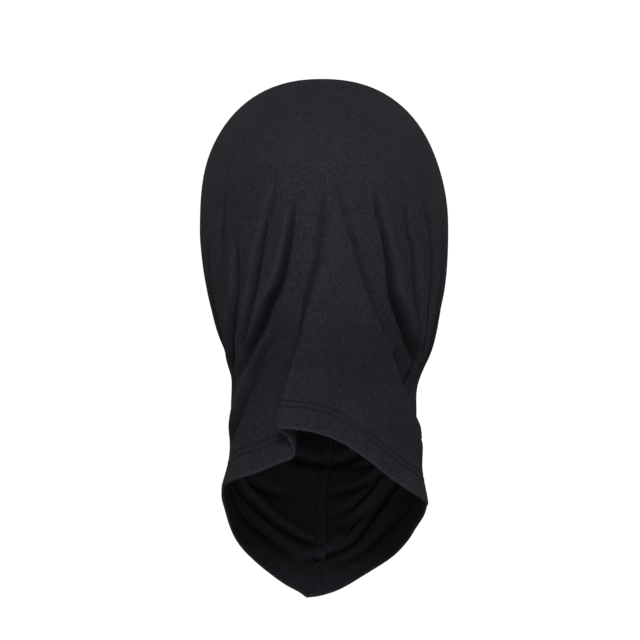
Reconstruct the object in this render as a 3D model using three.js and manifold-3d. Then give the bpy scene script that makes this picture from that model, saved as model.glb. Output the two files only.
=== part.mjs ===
// A thin jersey balaclava, in the shape it takes when it is worn. The hood is cut in one piece with no seam
// behind. Its two edges meet in a crown seam and in a front seam under the chin. Its face edge is bound over
// a flat elastic, and its neck edge is turned up inside and stitched with two needle rows. The back of the
// neck is short and the front runs down to a point.
//
// Millimetres. +Z is up, the face looks along -Y and the wearer's left is +X. The origin is the inside of the
// crown, where the top of the head bears.

import * as THREE from "three";
import { mergeVertices } from "three/addons/utils/BufferGeometryUtils.js";
import Module from "manifold-3d";

// ---- Driving dimensions ----

// The head and neck, over the cloth. A drop is measured down from the level before it.
const CROWN_DEPTH = 97; // top of the crown to the widest level
const JAW_DROP = 53;
const NAPE_DROP = 47;
const THROAT_DROP = 48;
const FLARE_DROP = 29;
const HEAD_HALF_WIDTH = 80;
const JAW_HALF_WIDTH = 74;
const NECK_HALF_WIDTH = 60.5;
const HEM_HALF_WIDTH = 67;
const HEAD_BACK = 102; // from the origin's vertical line to the back of the head
const JAW_BACK = 97;
const NECK_BACK = 78;
const HEM_BACK = 71;
const HEAD_FRONT = 100;
const CHIN_FRONT = 96;
const BIB_FRONT = 87;
const CROWN_ROUNDNESS = 2.3; // exponent of the superellipse that rounds the crown in profile
const PLAN_ROUNDNESS = 2.2; // exponent of every level section

// Hem.
const BACK_LENGTH = 224; // top of the crown to the hem's edge, in the middle of the back
const HEM_FALL = [28, 18, 43, 29]; // how much lower the edge is at each eighth of a turn towards the front
const HEM_TURN_UP = 20;
const HEM_ROW_MARGIN = 1.5; // the upper needle row, down from the turn-up's raw edge
const HEM_ROW_SPACING = 4; // between the two needle rows

// Face opening.
const FACE_TOP = 74; // down from the top of the crown
const FACE_BOTTOM = 200;
const FACE_HALF_WIDTH = 68; // over the cloth, from the middle of the front
const FACE_EGG = 0.1; // how much wider it is at the brow than at the chin

// Cloth, elastic and thread.
const CLOTH = 0.9;
const BINDING_CLOTH = 0.7;
const BINDING_WIDTH = 12;
const BINDING_ROW_MARGIN = 3.5; // the far needle row, in from the binding's outer edge
const BINDING_ROW_SPACING = 5;
const ELASTIC_WIDTH = 6;
const ELASTIC_THICKNESS = 0.6;
const THREAD = 0.5;
const SEAM_ALLOWANCE = 6;
const OVERLOCK_WIDTH = 4;
const CROWN_SEAM_DROP = 0.6; // top of the crown down to where the seam allowances start
const SEAM_CLEAR = 2; // allowances stop this far from the binding and from the turn-up
const THREAD_SHORT = 1; // seam threads stop this far inside the allowances' ends
const LABEL_CLOTH = 0.3;
const LABEL_LENGTH = 34;
const LABEL_WIDTH = 22;
const LABEL_DROP = 26; // top of the crown down to the label's upper edge
const TACK_LENGTH = 9;
const TACK_WIDTH = 2;

// Clearances between pieces that lie on each other.
const GAP = 0.3; // between plies of one piece, and along a seam
const LAY = 0.7; // between pieces, over the flats that round surfaces are built with

// Mesh.
const COLUMNS = 60;
const CROWDING = 0.25; // how much closer the columns stand in front than at the sides
const CROWN_ROWS = 12;
const BODY_ROWS = 16;
const FACE_STATIONS = 72;
const ROW_NEAR = 2; // a seam strip has no bend nearer than this to its ends
const ARC_STEP = Math.PI / 90; // turn between the points that a width over the cloth is measured through

// ---- The worn shape ----

const signedPower = (value, power) => Math.sign(value) * Math.abs(value) ** power;

// The running total of a list of steps.
function runningTotal(steps) {
  let sum = 0;
  return steps.map((step) => (sum += step));
}

// A smooth curve through values at rising places. It is level at its ends, and its slope at each value
// between them is that of the line that joins its neighbours.
function smoothThrough(places, values, at) {
  const last = places.length - 1;
  if (at <= places[0]) return values[0];
  if (at >= places[last]) return values[last];
  const slope = (i) =>
    i % last === 0 ? 0 : (values[i + 1] - values[i - 1]) / (places[i + 1] - places[i - 1]);
  const next = places.findIndex((place) => place > at);
  const before = next - 1;
  const span = places[next] - places[before];
  const t = (at - places[before]) / span;
  return (
    (2 * t ** 3 - 3 * t ** 2 + 1) * values[before] +
    (t ** 3 - 2 * t ** 2 + t) * span * slope(before) +
    (3 * t ** 2 - 2 * t ** 3) * values[next] +
    (t ** 3 - t ** 2) * span * slope(next)
  );
}

// Levels from the widest one down, with the half width and the reach behind and in front at each.
const LEVELS = runningTotal([CROWN_DEPTH, JAW_DROP, NAPE_DROP, THROAT_DROP, FLARE_DROP]);
const SIDES = [HEAD_HALF_WIDTH, JAW_HALF_WIDTH, NECK_HALF_WIDTH, NECK_HALF_WIDTH, HEM_HALF_WIDTH];
const BACKS = [HEAD_BACK, JAW_BACK, NECK_BACK, HEM_BACK, HEM_BACK];
const FRONTS = [HEAD_FRONT, HEAD_FRONT, CHIN_FRONT, BIB_FRONT, BIB_FRONT];

// Half width, back reach and front reach at a height below the top of the crown.
function section(z) {
  if (z < -CROWN_DEPTH) {
    const [side, back, front] = [SIDES, BACKS, FRONTS].map((reach) => smoothThrough(LEVELS, reach, -z));
    return { side, back, front };
  }
  const up = Math.min(1, Math.max(0, 1 + z / CROWN_DEPTH));
  const share = (1 - up ** CROWN_ROUNDNESS) ** (1 / CROWN_ROUNDNESS);
  return { side: HEAD_HALF_WIDTH * share, back: HEAD_BACK * share, front: HEAD_FRONT * share };
}

// The outer face of the cloth. A turn of 0 is the middle of the back, half a turn the middle of the front.
function skin(turn, z) {
  const at = section(z);
  const reach = Math.cos(turn) > 0 ? at.back : at.front;
  return new THREE.Vector3(
    at.side * signedPower(Math.sin(turn), 2 / PLAN_ROUNDNESS),
    reach * signedPower(Math.cos(turn), 2 / PLAN_ROUNDNESS),
    z,
  );
}

// The crown's height at an angle that runs from 0 at its top to a quarter turn at its widest level, and back.
const crownHeight = (angle) => -CROWN_DEPTH * (1 - Math.cos(angle) ** (2 / CROWN_ROUNDNESS));
const crownAngle = (z) => Math.acos((1 + z / CROWN_DEPTH) ** (CROWN_ROUNDNESS / 2));

// The outward normal of the skin, from two small differences.
function skinNormal(turn, z) {
  const small = 1e-3;
  if (z > -small) return new THREE.Vector3(0, 0, 1);
  const around = skin(turn + small, z).sub(skin(turn - small, z));
  let above = z + small;
  let below = z - small;
  if (z > -CROWN_DEPTH) {
    const angle = crownAngle(z);
    above = crownHeight(Math.max(0, angle - small));
    below = crownHeight(Math.min(Math.PI / 2, angle + small));
  }
  const down = skin(turn, below).sub(skin(turn, above));
  return around.cross(down).normalize();
}

const inset = (turn, z, depth) => skin(turn, z).addScaledVector(skinNormal(turn, z), -depth);

// Height of the hem's edge: it falls from the back to the point in front, the same way on both sides.
const HEM_DROPS = runningTotal([BACK_LENGTH, ...HEM_FALL]);
const FRONT_LENGTH = HEM_DROPS.at(-1);

function hemHeight(turn) {
  const fromBack = Math.acos(Math.cos(turn));
  const places = HEM_DROPS.map((_, i) => (i * Math.PI) / HEM_FALL.length);
  return -smoothThrough(places, HEM_DROPS, fromBack);
}

// ---- Closed meshes ----

// A closed body through a row of rings. The row closes on itself, or its ends are rings of one point, or the
// given triangles of one ring cap both ends.
function loft(rings, { closed = false, cap = [] } = {}) {
  const positions = rings.flat().flatMap((p) => [p.x, p.y, p.z]);
  const starts = [];
  rings.reduce((start, ring) => (starts.push(start), start + ring.length), 0);
  const index = [];
  const joints = closed ? rings.length : rings.length - 1;
  for (let i = 0; i < joints; i++) {
    const k = (i + 1) % rings.length;
    const around = Math.max(rings[i].length, rings[k].length);
    for (let j = 0; j < around; j++) {
      const [a, b] = [j, j + 1].map((n) => starts[i] + (n % rings[i].length));
      const [c, d] = [j, j + 1].map((n) => starts[k] + (n % rings[k].length));
      if (a !== b) index.push(a, b, d);
      if (c !== d) index.push(a, d, c);
    }
  }
  const end = starts[rings.length - 1];
  for (const [a, b, c] of cap) index.push(a, c, b, end + a, end + b, end + c);
  const made = new THREE.BufferGeometry();
  made.setAttribute("position", new THREE.Float32BufferAttribute(positions, 3));
  made.setIndex(index);
  return facingOut(made);
}

// Turns every face round if the body is inside out.
function facingOut(made) {
  const index = made.index.array;
  const corner = (i) => new THREE.Vector3().fromBufferAttribute(made.attributes.position, index[i]);
  let volume = 0;
  for (let i = 0; i < index.length; i += 3) volume += corner(i).dot(corner(i + 1).cross(corner(i + 2)));
  if (volume < 0)
    for (let i = 0; i < index.length; i += 3) [index[i + 1], index[i + 2]] = [index[i + 2], index[i + 1]];
  return made;
}

// The triangles that fill a profile of [across, along] pairs, wound the same way as its points.
function capOf(profile) {
  const points = profile.map(([across, along]) => new THREE.Vector2(across, along));
  const faces = THREE.ShapeUtils.triangulateShape(points, []);
  return THREE.ShapeUtils.isClockWise(points) ? faces.map((face) => face.toReversed()) : faces;
}

const wasm = await Module();
wasm.setup();

// A closed geometry as a solid that can be joined and cut.
function solid(geometry) {
  const bare = new THREE.BufferGeometry();
  bare.setAttribute("position", geometry.attributes.position.clone());
  if (geometry.index) bare.setIndex(geometry.index.clone());
  const merged = mergeVertices(bare, 1e-4);
  const vertProperties = new Float32Array(merged.attributes.position.array);
  const triVerts = new Uint32Array(merged.index.array);
  return new wasm.Manifold(new wasm.Mesh({ numProp: 3, vertProperties, triVerts }));
}

function geometryOf(made) {
  const { vertProperties, triVerts } = made.getMesh();
  const geometry = new THREE.BufferGeometry();
  geometry.setAttribute("position", new THREE.BufferAttribute(new Float32Array(vertProperties), 3));
  geometry.setIndex(new THREE.BufferAttribute(new Uint32Array(triVerts), 1));
  return geometry;
}

// ---- Paths that pieces follow ----

const evenly = (count) => Array.from({ length: count }, (_, i) => (2 * Math.PI * i) / count);
const TURNS = evenly(COLUMNS).map((turn) => turn + CROWDING * Math.sin(turn)); // the hood's columns
const ANGLES = evenly(FACE_STATIONS); // round the face opening

// A ring round the neck, from a profile of [height above the hem's edge, depth into the cloth] pairs.
function neckRing(profile) {
  const at = (turn, up, depth) => inset(turn, hemHeight(turn) + up, depth);
  return loft(
    TURNS.map((turn, i) => profile(i).map(([up, depth]) => at(turn, up, depth))),
    { closed: true },
  );
}

// The face opening's outline laid flat, width over the cloth and height, moved outwards by a margin.
function facePoint(angle, margin = 0) {
  const middle = -(FACE_TOP + FACE_BOTTOM) / 2;
  const halfHeight = (FACE_BOTTOM - FACE_TOP) / 2;
  const at = (a) =>
    new THREE.Vector2(
      FACE_HALF_WIDTH * Math.sin(a) * (1 + FACE_EGG * Math.cos(a)),
      middle + halfHeight * Math.cos(a),
    );
  const small = 1e-3;
  const along = at(angle + small).sub(at(angle - small)).normalize();
  return at(angle).add(new THREE.Vector2(-along.y, along.x).multiplyScalar(margin));
}

// The turn, away from the middle of the front, that a width laid over the cloth spans at a height.
function turnOver(width, z) {
  let turn = 0;
  let left = Math.abs(width);
  let foot = skin(Math.PI, z);
  while (true) {
    const next = skin(Math.PI - turn - ARC_STEP, z);
    const stride = foot.distanceTo(next);
    if (stride >= left) return Math.sign(width) * (turn + (ARC_STEP * left) / stride);
    left -= stride;
    turn += ARC_STEP;
    foot = next;
  }
}

// A point of the cloth's front, from its width over the cloth and its height, at a depth into it.
const frontPoint = (at, depth) => inset(Math.PI - turnOver(at.x, at.y), at.y, depth);

// A ring round the face opening, from a profile of [distance from the opening's edge, depth] pairs.
function faceRing(profile) {
  return loft(
    ANGLES.map((angle, i) => profile(i).map(([out, depth]) => frontPoint(facePoint(angle, out), depth))),
    { closed: true },
  );
}

// A strip down the front's middle line, from a profile of [sideways, depth] pairs. It bends where the hood's
// rows cross it, and can stop short of the seam's ends.
function seamStrip(profile, { top, bottom }, short = 0) {
  const rows = rowHeights(Math.PI).filter((z) => z < top - ROW_NEAR && z > bottom + ROW_NEAR);
  const stations = [top, ...rows, bottom].map((z) => ({
    foot: skin(Math.PI, z),
    inward: skinNormal(Math.PI, z).negate(),
  }));
  for (const [end, next] of [stations, stations.toReversed()]) {
    const share = short / end.foot.distanceTo(next.foot);
    end.foot.lerp(next.foot, share);
    end.inward.lerp(next.inward, share);
  }
  const rings = stations.map(({ foot, inward }) =>
    profile.map(([across, depth]) => foot.clone().addScaledVector(inward, depth).setX(across)),
  );
  return loft(rings, { cap: capOf(profile) });
}

// A square section of thread round a centre.
const threadSection = (across, depth) => {
  const half = THREAD / 2;
  return [
    [across - half, depth - half],
    [across + half, depth - half],
    [across + half, depth + half],
    [across - half, depth + half],
  ];
};

// ---- The hood ----

// Heights of one column's rings: the crown, then evenly down to the top of the hem's turn-up.
function rowHeights(turn) {
  const heights = [];
  for (let i = 1; i <= CROWN_ROWS; i++) heights.push(crownHeight((Math.PI / 2) * (i / CROWN_ROWS)));
  const bottom = hemHeight(turn) + HEM_TURN_UP;
  for (let i = 1; i <= BODY_ROWS; i++)
    heights.push(-CROWN_DEPTH + (bottom + CROWN_DEPTH) * (i / BODY_ROWS));
  return heights;
}

// The hem's rings, as [height above the hem's edge, depth]: down the outside, round the fold, up the inner
// face of the turn-up, and back down into the slit between the two plies.
const HEM_RINGS = [
  [HEM_TURN_UP / 2, 0],
  [CLOTH, 0],
  [0, CLOTH / 2],
  [0, CLOTH + GAP + CLOTH / 2],
  [CLOTH, 2 * CLOTH + GAP],
  [HEM_TURN_UP / 2, 2 * CLOTH + GAP],
  [HEM_TURN_UP, 2 * CLOTH + GAP],
  [HEM_TURN_UP, CLOTH + GAP],
  [HEM_TURN_UP / 2, CLOTH + GAP],
  [CLOTH, CLOTH + GAP],
  [CLOTH, CLOTH],
  [HEM_TURN_UP / 2, CLOTH],
];

function hoodShell() {
  const rows = CROWN_ROWS + BODY_ROWS;
  const ring = (row, depth) => TURNS.map((turn) => inset(turn, rowHeights(turn)[row], depth));
  const down = Array.from({ length: rows }, (_, row) => ring(row, 0));
  const hem = HEM_RINGS.map(([up, depth]) => TURNS.map((turn) => inset(turn, hemHeight(turn) + up, depth)));
  const upAgain = Array.from({ length: rows }, (_, row) => ring(rows - 1 - row, CLOTH));
  return loft([[inset(0, 0, 0)], ...down, ...hem, ...upAgain, [inset(0, 0, CLOTH)]]);
}

// The prism that takes the face opening out of the front.
function faceCutter() {
  const edge = ANGLES.map((angle) => frontPoint(facePoint(angle), CLOTH / 2));
  const outline = new THREE.Shape(edge.map((point) => new THREE.Vector2(point.x, point.z)));
  const made = new THREE.ExtrudeGeometry(outline, { depth: 2 * HEAD_FRONT, bevelEnabled: false });
  return solid(made.rotateX(Math.PI / 2).translate(0, -HEAD_FRONT / 4, 0));
}

// The gap between the two edges of the one-piece cut, down the middle of the front.
function seamCutter() {
  const height = FRONT_LENGTH + 2 * CLOTH;
  const made = new THREE.BoxGeometry(GAP, 2 * HEAD_FRONT, height);
  return solid(made.translate(0, -HEAD_FRONT, CLOTH - height / 2));
}

// Both edges' allowances, turned in and standing side by side from the inner face.
const ALLOWANCE_PROFILE = [
  [-GAP / 2 - CLOTH, CLOTH / 2],
  [GAP / 2 + CLOTH, CLOTH / 2],
  [GAP / 2 + CLOTH, CLOTH + SEAM_ALLOWANCE],
  [-GAP / 2 - CLOTH, CLOTH + SEAM_ALLOWANCE],
];

// The seams' allowances stop short of the binding's inner ply at the face, and of the turn-up at the hem.
const BINDING_REACH = BINDING_WIDTH + SEAM_CLEAR;
const CROWN_SEAM = { top: -CROWN_SEAM_DROP, bottom: -(FACE_TOP - BINDING_REACH) };
const FRONT_SEAM = {
  top: -(FACE_BOTTOM + BINDING_REACH),
  bottom: -(FRONT_LENGTH - HEM_TURN_UP - SEAM_CLEAR),
};

function hoodPanel() {
  return geometryOf(
    solid(hoodShell())
      .add(solid(seamStrip(ALLOWANCE_PROFILE, CROWN_SEAM)))
      .add(solid(seamStrip(ALLOWANCE_PROFILE, FRONT_SEAM)))
      .subtract(seamCutter())
      .subtract(faceCutter()),
  );
}

// ---- Seam threads ----

const FIN_SIDE = GAP / 2 + CLOTH; // outer face of an allowance
const FIN_END = CLOTH + SEAM_ALLOWANCE; // its raw edge

// Overlock stitching wrapped over both raw edges.
const OVERLOCK_PROFILE = [
  [-FIN_SIDE - GAP - THREAD, FIN_END - OVERLOCK_WIDTH],
  [-FIN_SIDE - GAP - THREAD, FIN_END + GAP + THREAD],
  [FIN_SIDE + GAP + THREAD, FIN_END + GAP + THREAD],
  [FIN_SIDE + GAP + THREAD, FIN_END - OVERLOCK_WIDTH],
  [FIN_SIDE + GAP, FIN_END - OVERLOCK_WIDTH],
  [FIN_SIDE + GAP, FIN_END + GAP],
  [-FIN_SIDE - GAP, FIN_END + GAP],
  [-FIN_SIDE - GAP, FIN_END - OVERLOCK_WIDTH],
];

const overlock = (seam) => seamStrip(OVERLOCK_PROFILE, seam, THREAD_SHORT);

// The line of stitches that closes a seam, close to the cloth's inner face.
function seamThread(seam) {
  const profile = threadSection(-FIN_SIDE - GAP - THREAD / 2, CLOTH + LAY + THREAD / 2);
  return seamStrip(profile, seam, THREAD_SHORT);
}

// ---- Face edge ----

// Depths of the layers at the face edge, from the inside out.
const ELASTIC_TOP = CLOTH + LAY;
const INNER_PLY_TOP = ELASTIC_TOP + ELASTIC_THICKNESS + LAY;
const INNER_PLY_BOTTOM = INNER_PLY_TOP + BINDING_CLOTH;
const OUTER_PLY_BOTTOM = -LAY;
const OUTER_PLY_TOP = OUTER_PLY_BOTTOM - BINDING_CLOTH;
const OUTER_THREAD = OUTER_PLY_TOP - GAP - THREAD / 2;
const INNER_THREAD = INNER_PLY_BOTTOM + LAY + THREAD / 2;

// A strip folded over the raw edge, with one ply outside and one inside. Its ends meet at the chin. The raw
// edge leans across the cloth's thickness, so the fold stands off by half of that as well.
function faceBinding() {
  const half = BINDING_WIDTH / 2;
  const fold = -LAY - CLOTH / 2;
  const edge = fold - BINDING_CLOTH;
  const ring = faceRing(() => [
    [BINDING_WIDTH, OUTER_PLY_BOTTOM],
    [half, OUTER_PLY_BOTTOM],
    [fold, OUTER_PLY_BOTTOM],
    [fold, INNER_PLY_TOP],
    [half, INNER_PLY_TOP],
    [BINDING_WIDTH, INNER_PLY_TOP],
    [BINDING_WIDTH, INNER_PLY_BOTTOM],
    [half, INNER_PLY_BOTTOM],
    [edge, INNER_PLY_BOTTOM],
    [edge, OUTER_PLY_TOP],
    [half, OUTER_PLY_TOP],
    [BINDING_WIDTH, OUTER_PLY_TOP],
  ]);
  const join = new THREE.BoxGeometry(GAP, 2 * HEAD_FRONT, 3 * BINDING_WIDTH);
  return geometryOf(solid(ring).subtract(solid(join.translate(0, -HEAD_FRONT, -FACE_BOTTOM))));
}

function faceElastic() {
  const bottom = ELASTIC_TOP + ELASTIC_THICKNESS;
  return faceRing(() => [
    [LAY, ELASTIC_TOP],
    [LAY + ELASTIC_WIDTH, ELASTIC_TOP],
    [LAY + ELASTIC_WIDTH, bottom],
    [LAY, bottom],
  ]);
}

// Needle rows, out from the opening's edge.
const FACE_ROW_FAR = BINDING_WIDTH - BINDING_ROW_MARGIN;
const FACE_ROW_NEAR = FACE_ROW_FAR - BINDING_ROW_SPACING;

const faceThread = (row) => faceRing(() => threadSection(row, OUTER_THREAD));

// The looper thread swings from row to row under the needles.
const swing = (low, high) => (i) => (i % 2 ? high : low);

function faceLooper() {
  const across = swing(FACE_ROW_NEAR, FACE_ROW_FAR);
  return faceRing((i) => threadSection(across(i), INNER_THREAD));
}

// A short block of close stitches over the binding's join, at the middle of the chin.
function chinTack() {
  const outer = OUTER_THREAD - THREAD / 2 - GAP;
  const start = BINDING_WIDTH - (BINDING_WIDTH - TACK_LENGTH) / 2;
  const rings = [start, start - TACK_LENGTH].map((out) =>
    [-1, 1].flatMap((side) =>
      (side < 0 ? [outer, outer - THREAD] : [outer - THREAD, outer]).map((depth) =>
        frontPoint(facePoint(Math.PI, out).setX((side * TACK_WIDTH) / 2), depth),
      ),
    ),
  );
  return loft(rings, { cap: [[0, 1, 2], [0, 2, 3]] });
}

// ---- Neck edge ----

const HEM_INNER = 2 * CLOTH + GAP; // the turn-up's inner face
const HEM_ROW_HIGH = HEM_TURN_UP - HEM_ROW_MARGIN; // needle rows, up from the hem's edge
const HEM_ROW_LOW = HEM_ROW_HIGH - HEM_ROW_SPACING;

const hemThread = (row) => neckRing(() => threadSection(row, -LAY - THREAD / 2));

function hemLooper() {
  const up = swing(HEM_ROW_LOW, HEM_ROW_HIGH);
  return neckRing((i) => threadSection(up(i), HEM_INNER + LAY + THREAD / 2));
}

// ---- Care label ----

// A folded loop of plain ribbon, caught by the crown seam and lying along the inside on the wearer's left.
function careLabel() {
  const near = FIN_SIDE + GAP + THREAD + GAP;
  const far = near + LABEL_LENGTH;
  const top = CLOTH + LAY;
  const profile = [
    ...[0, 0.25, 0.5, 0.75, 1].map((t) => [near + (far - near) * t, top]),
    ...[1, 0.75, 0.5, 0.25, 0].map((t) => [near + (far - near) * t, top + 2 * LABEL_CLOTH + GAP]),
    ...[0, 0.25, 0.5, 0.75].map((t) => [near + (far - near) * t, top + LABEL_CLOTH + GAP]),
    [far - LABEL_CLOTH, top + LABEL_CLOTH + GAP],
    [far - LABEL_CLOTH, top + LABEL_CLOTH],
    ...[0.75, 0.5, 0.25, 0].map((t) => [near + (far - near) * t, top + LABEL_CLOTH]),
  ];
  const fall = LABEL_WIDTH / Math.SQRT2; // the cloth slopes by about half a right angle there
  const rings = [0, 0.5, 1].map((t) =>
    profile.map(([across, depth]) => frontPoint(new THREE.Vector2(across, -LABEL_DROP - fall * t), depth)),
  );
  return loft(rings, { cap: capOf(profile) });
}

// ---- Assembly ----

const matte = (color, roughness) => new THREE.MeshStandardMaterial({ color, roughness, metalness: 0 });
const jersey = matte(0x1c1c21, 0.95);
const bindingJersey = matte(0x19191e, 0.95);
const elasticTape = matte(0x111114, 0.8);
const sewingThread = matte(0x141418, 0.7);
const labelSatin = matte(0x2b2b30, 0.45);

const balaclava = new THREE.Group();

function place(name, geometry, material) {
  const mesh = new THREE.Mesh(geometry, material);
  mesh.name = name;
  balaclava.add(mesh);
}

place("hood_panel", hoodPanel(), jersey);
place("face_binding", faceBinding(), bindingJersey);
place("face_elastic", faceElastic(), elasticTape);
place("face_needle_thread_inner_row", faceThread(FACE_ROW_NEAR), sewingThread);
place("face_needle_thread_outer_row", faceThread(FACE_ROW_FAR), sewingThread);
place("face_looper_thread", faceLooper(), sewingThread);
place("chin_bartack", chinTack(), sewingThread);
place("crown_seam_overlock", overlock(CROWN_SEAM), sewingThread);
place("crown_seam_needle_thread", seamThread(CROWN_SEAM), sewingThread);
place("front_seam_overlock", overlock(FRONT_SEAM), sewingThread);
place("front_seam_needle_thread", seamThread(FRONT_SEAM), sewingThread);
place("hem_needle_thread_lower_row", hemThread(HEM_ROW_LOW), sewingThread);
place("hem_needle_thread_upper_row", hemThread(HEM_ROW_HIGH), sewingThread);
place("hem_looper_thread", hemLooper(), sewingThread);
place("care_label", careLabel(), labelSatin);

balaclava.position.z = CLOTH;

export default balaclava;
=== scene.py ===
# %% [markdown]
# # A thin jersey balaclava, worn
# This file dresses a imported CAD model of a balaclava. The CAD model fixes every size, and the pieces below
# stand in its place: one sheet of black jersey with its folds, a bound face edge, rows of real stitches, two
# overlocked seams, a piece of elastic and a care label. All lengths in the working are millimetres, and
# `MM` turns them into Blender's metres at the last moment.

# %% Load the frame
import math

import bpy
import numpy as np
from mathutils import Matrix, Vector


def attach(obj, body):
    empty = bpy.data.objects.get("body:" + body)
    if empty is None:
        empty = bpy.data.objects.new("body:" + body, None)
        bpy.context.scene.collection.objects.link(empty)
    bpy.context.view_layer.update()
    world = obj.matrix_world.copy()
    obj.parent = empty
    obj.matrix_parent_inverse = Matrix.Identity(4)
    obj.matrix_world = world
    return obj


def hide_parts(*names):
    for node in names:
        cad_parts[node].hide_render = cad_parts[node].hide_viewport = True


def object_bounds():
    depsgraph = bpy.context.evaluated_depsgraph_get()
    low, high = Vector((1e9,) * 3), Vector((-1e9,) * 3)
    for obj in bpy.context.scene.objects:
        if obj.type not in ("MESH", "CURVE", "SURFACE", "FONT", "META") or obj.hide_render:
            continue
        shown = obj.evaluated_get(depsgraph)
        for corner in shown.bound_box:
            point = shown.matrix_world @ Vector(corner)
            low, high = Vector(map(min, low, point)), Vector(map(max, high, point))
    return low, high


MM = 0.001
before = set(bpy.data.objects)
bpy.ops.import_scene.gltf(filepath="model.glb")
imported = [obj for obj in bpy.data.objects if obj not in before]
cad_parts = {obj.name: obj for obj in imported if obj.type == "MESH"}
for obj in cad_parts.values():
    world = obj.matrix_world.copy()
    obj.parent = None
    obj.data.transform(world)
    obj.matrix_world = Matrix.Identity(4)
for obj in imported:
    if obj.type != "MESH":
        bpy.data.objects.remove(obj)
cad_low, cad_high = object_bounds()
cad_size = [round(v / MM, 1) for v in (cad_high - cad_low)]
print("CAD box, mm:", cad_size, "nodes:", len(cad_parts))

# %% [markdown]
# ## The camera
# The hood is looked at from behind, level with the ears, with a long lens from two metres away. A long lens
# keeps the dome of the crown and the hem at the same scale.

# %% The camera
CAMERA_DISTANCE = 2.0
CAMERA_HEIGHT = -0.154
CAMERA_SIDE = 0.0026
CAMERA_LENS = 174.4


def add_object(name, data):
    """A new object, linked into the scene."""
    made = bpy.data.objects.new(name, data)
    bpy.context.scene.collection.objects.link(made)
    return made


camera_data = bpy.data.cameras.new("camera")
camera_data.sensor_width = 36.0
camera_data.lens = CAMERA_LENS
camera_data.clip_end = 50.0
camera = add_object("camera", camera_data)
camera.location = (CAMERA_SIDE, CAMERA_DISTANCE, CAMERA_HEIGHT)
camera.rotation_euler = (math.radians(90), 0, math.radians(180))
bpy.context.scene.camera = camera
print("camera at", tuple(camera.location))

# %% [markdown]
# ## Small helpers
# A surface here is a grid of points: one function of two parameters gives a whole array of places, and one
# function below turns any such grid into a mesh. Curved tables of sizes are read with a smooth curve that
# passes through every size in them.


# %% Smooth tables
def smooth_through(places, values, at):
    """Cubic curve through values at rising places: level at both ends, and at each value between them it
    slopes like the line that joins its neighbours. Outside the places it keeps the end values."""
    places = np.asarray(places, float)
    values = np.asarray(values, float)
    slope = np.zeros(len(values))
    slope[1:-1] = (values[2:] - values[:-2]) / (places[2:] - places[:-2])
    at = np.clip(at, places[0], places[-1])
    i = np.clip(np.searchsorted(places, at, side="right") - 1, 0, len(places) - 2)
    span = places[i + 1] - places[i]
    t = (at - places[i]) / span
    rise = (2 * t**3 - 3 * t**2 + 1) * values[i] + (3 * t**2 - 2 * t**3) * values[i + 1]
    return rise + span * ((t**3 - 2 * t**2 + t) * slope[i] + (t**3 - t**2) * slope[i + 1])


def ramp(low, high, at):
    """0 below low, 1 above high, and an S-curve between them."""
    t = np.clip((np.asarray(at, float) - low) / (high - low), 0, 1)
    return t * t * (3 - 2 * t)


def signed_power(value, power):
    """Power of the size of a value, with its sign kept."""
    return np.sign(value) * np.abs(value) ** power


# %% Grids to meshes
def grid_faces(rows, columns, wrap=False):
    """Four-sided faces of a grid stored row by row; wrap joins the last column to the first."""
    r = np.arange(rows - 1)[:, None]
    c = np.arange(columns if wrap else columns - 1)[None, :]
    n = (c + 1) % columns
    quads = np.stack([r * columns + c, r * columns + n, (r + 1) * columns + n, (r + 1) * columns + c], -1)
    return quads.reshape(-1, 4)


def new_piece(name, points, face_sets, uv=None, smooth=True):
    """A mesh object from points in mm and arrays of faces; uv holds one pair of mm for each point."""
    mesh = bpy.data.meshes.new(name)
    face_sets = [np.asarray(faces, np.int32) for faces in face_sets if len(faces)]
    corners = np.concatenate([faces.ravel() for faces in face_sets])
    sides = np.concatenate([np.full(len(faces), faces.shape[1], np.int32) for faces in face_sets])
    mesh.vertices.add(len(points))
    mesh.vertices.foreach_set("co", (np.asarray(points, float) * MM).ravel())
    mesh.loops.add(len(corners))
    mesh.loops.foreach_set("vertex_index", corners)
    mesh.polygons.add(len(sides))
    mesh.polygons.foreach_set("loop_start", np.concatenate([[0], np.cumsum(sides)[:-1]]).astype(np.int32))
    mesh.polygons.foreach_set("use_smooth", np.full(len(sides), smooth))
    mesh.update(calc_edges=True)
    if uv is not None:
        layer = mesh.uv_layers.new(name="cloth")
        layer.data.foreach_set("uv", np.asarray(uv, float)[corners].ravel())
    mesh.validate()
    piece = add_object(name, mesh)
    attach(piece, "root")
    return piece


def thicken(piece, thickness):
    """Gives a sheet its wall, inwards from the drawn face."""
    solidify = piece.modifiers.new("wall", "SOLIDIFY")
    solidify.thickness = thickness * MM
    solidify.offset = -1
    solidify.use_even_offset = False
    return solidify


# %% [markdown]
# ## The worn shape under the folds
# Cloth this thin takes the shape of the head. Each level section is a rounded oval, and the crown is a
# rounded dome. A place on the hood is named by its turn, 0 in the middle of the back and half a turn in the
# middle of the front, and by its height below the top of the crown. The two sides of a worn hood are never
# quite alike, so the widths at the neck are read from one table for each side.

# %% The worn shape
CLOTH = 0.9
CROWN_DEPTH = 97.0
CROWN_ROUNDNESS = 2.3
PLAN_ROUNDNESS = 2.2
LEVELS = [97, 150, 197, 245, 274]
SIDES = [80, 74, 60.5, 60.5, 67]
BACKS = [102, 97, 78, 71, 71]
FRONTS = [100, 100, 96, 87, 87]
SIDE_LEVELS = [97, 118, 134, 148, 164, 180, 192, 200, 212, 232, 248, 263, 274]
LEFT_SIDES = [80, 78.4, 75.8, 72.6, 67.8, 62.8, 60.3, 60.2, 60.6, 59.8, 62.2, 66.2, 67.5]
RIGHT_SIDES = [80, 79.4, 77.8, 75.2, 71.9, 66.9, 61.6, 59.6, 59.8, 61, 62.2, 65.6, 67.5]


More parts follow.
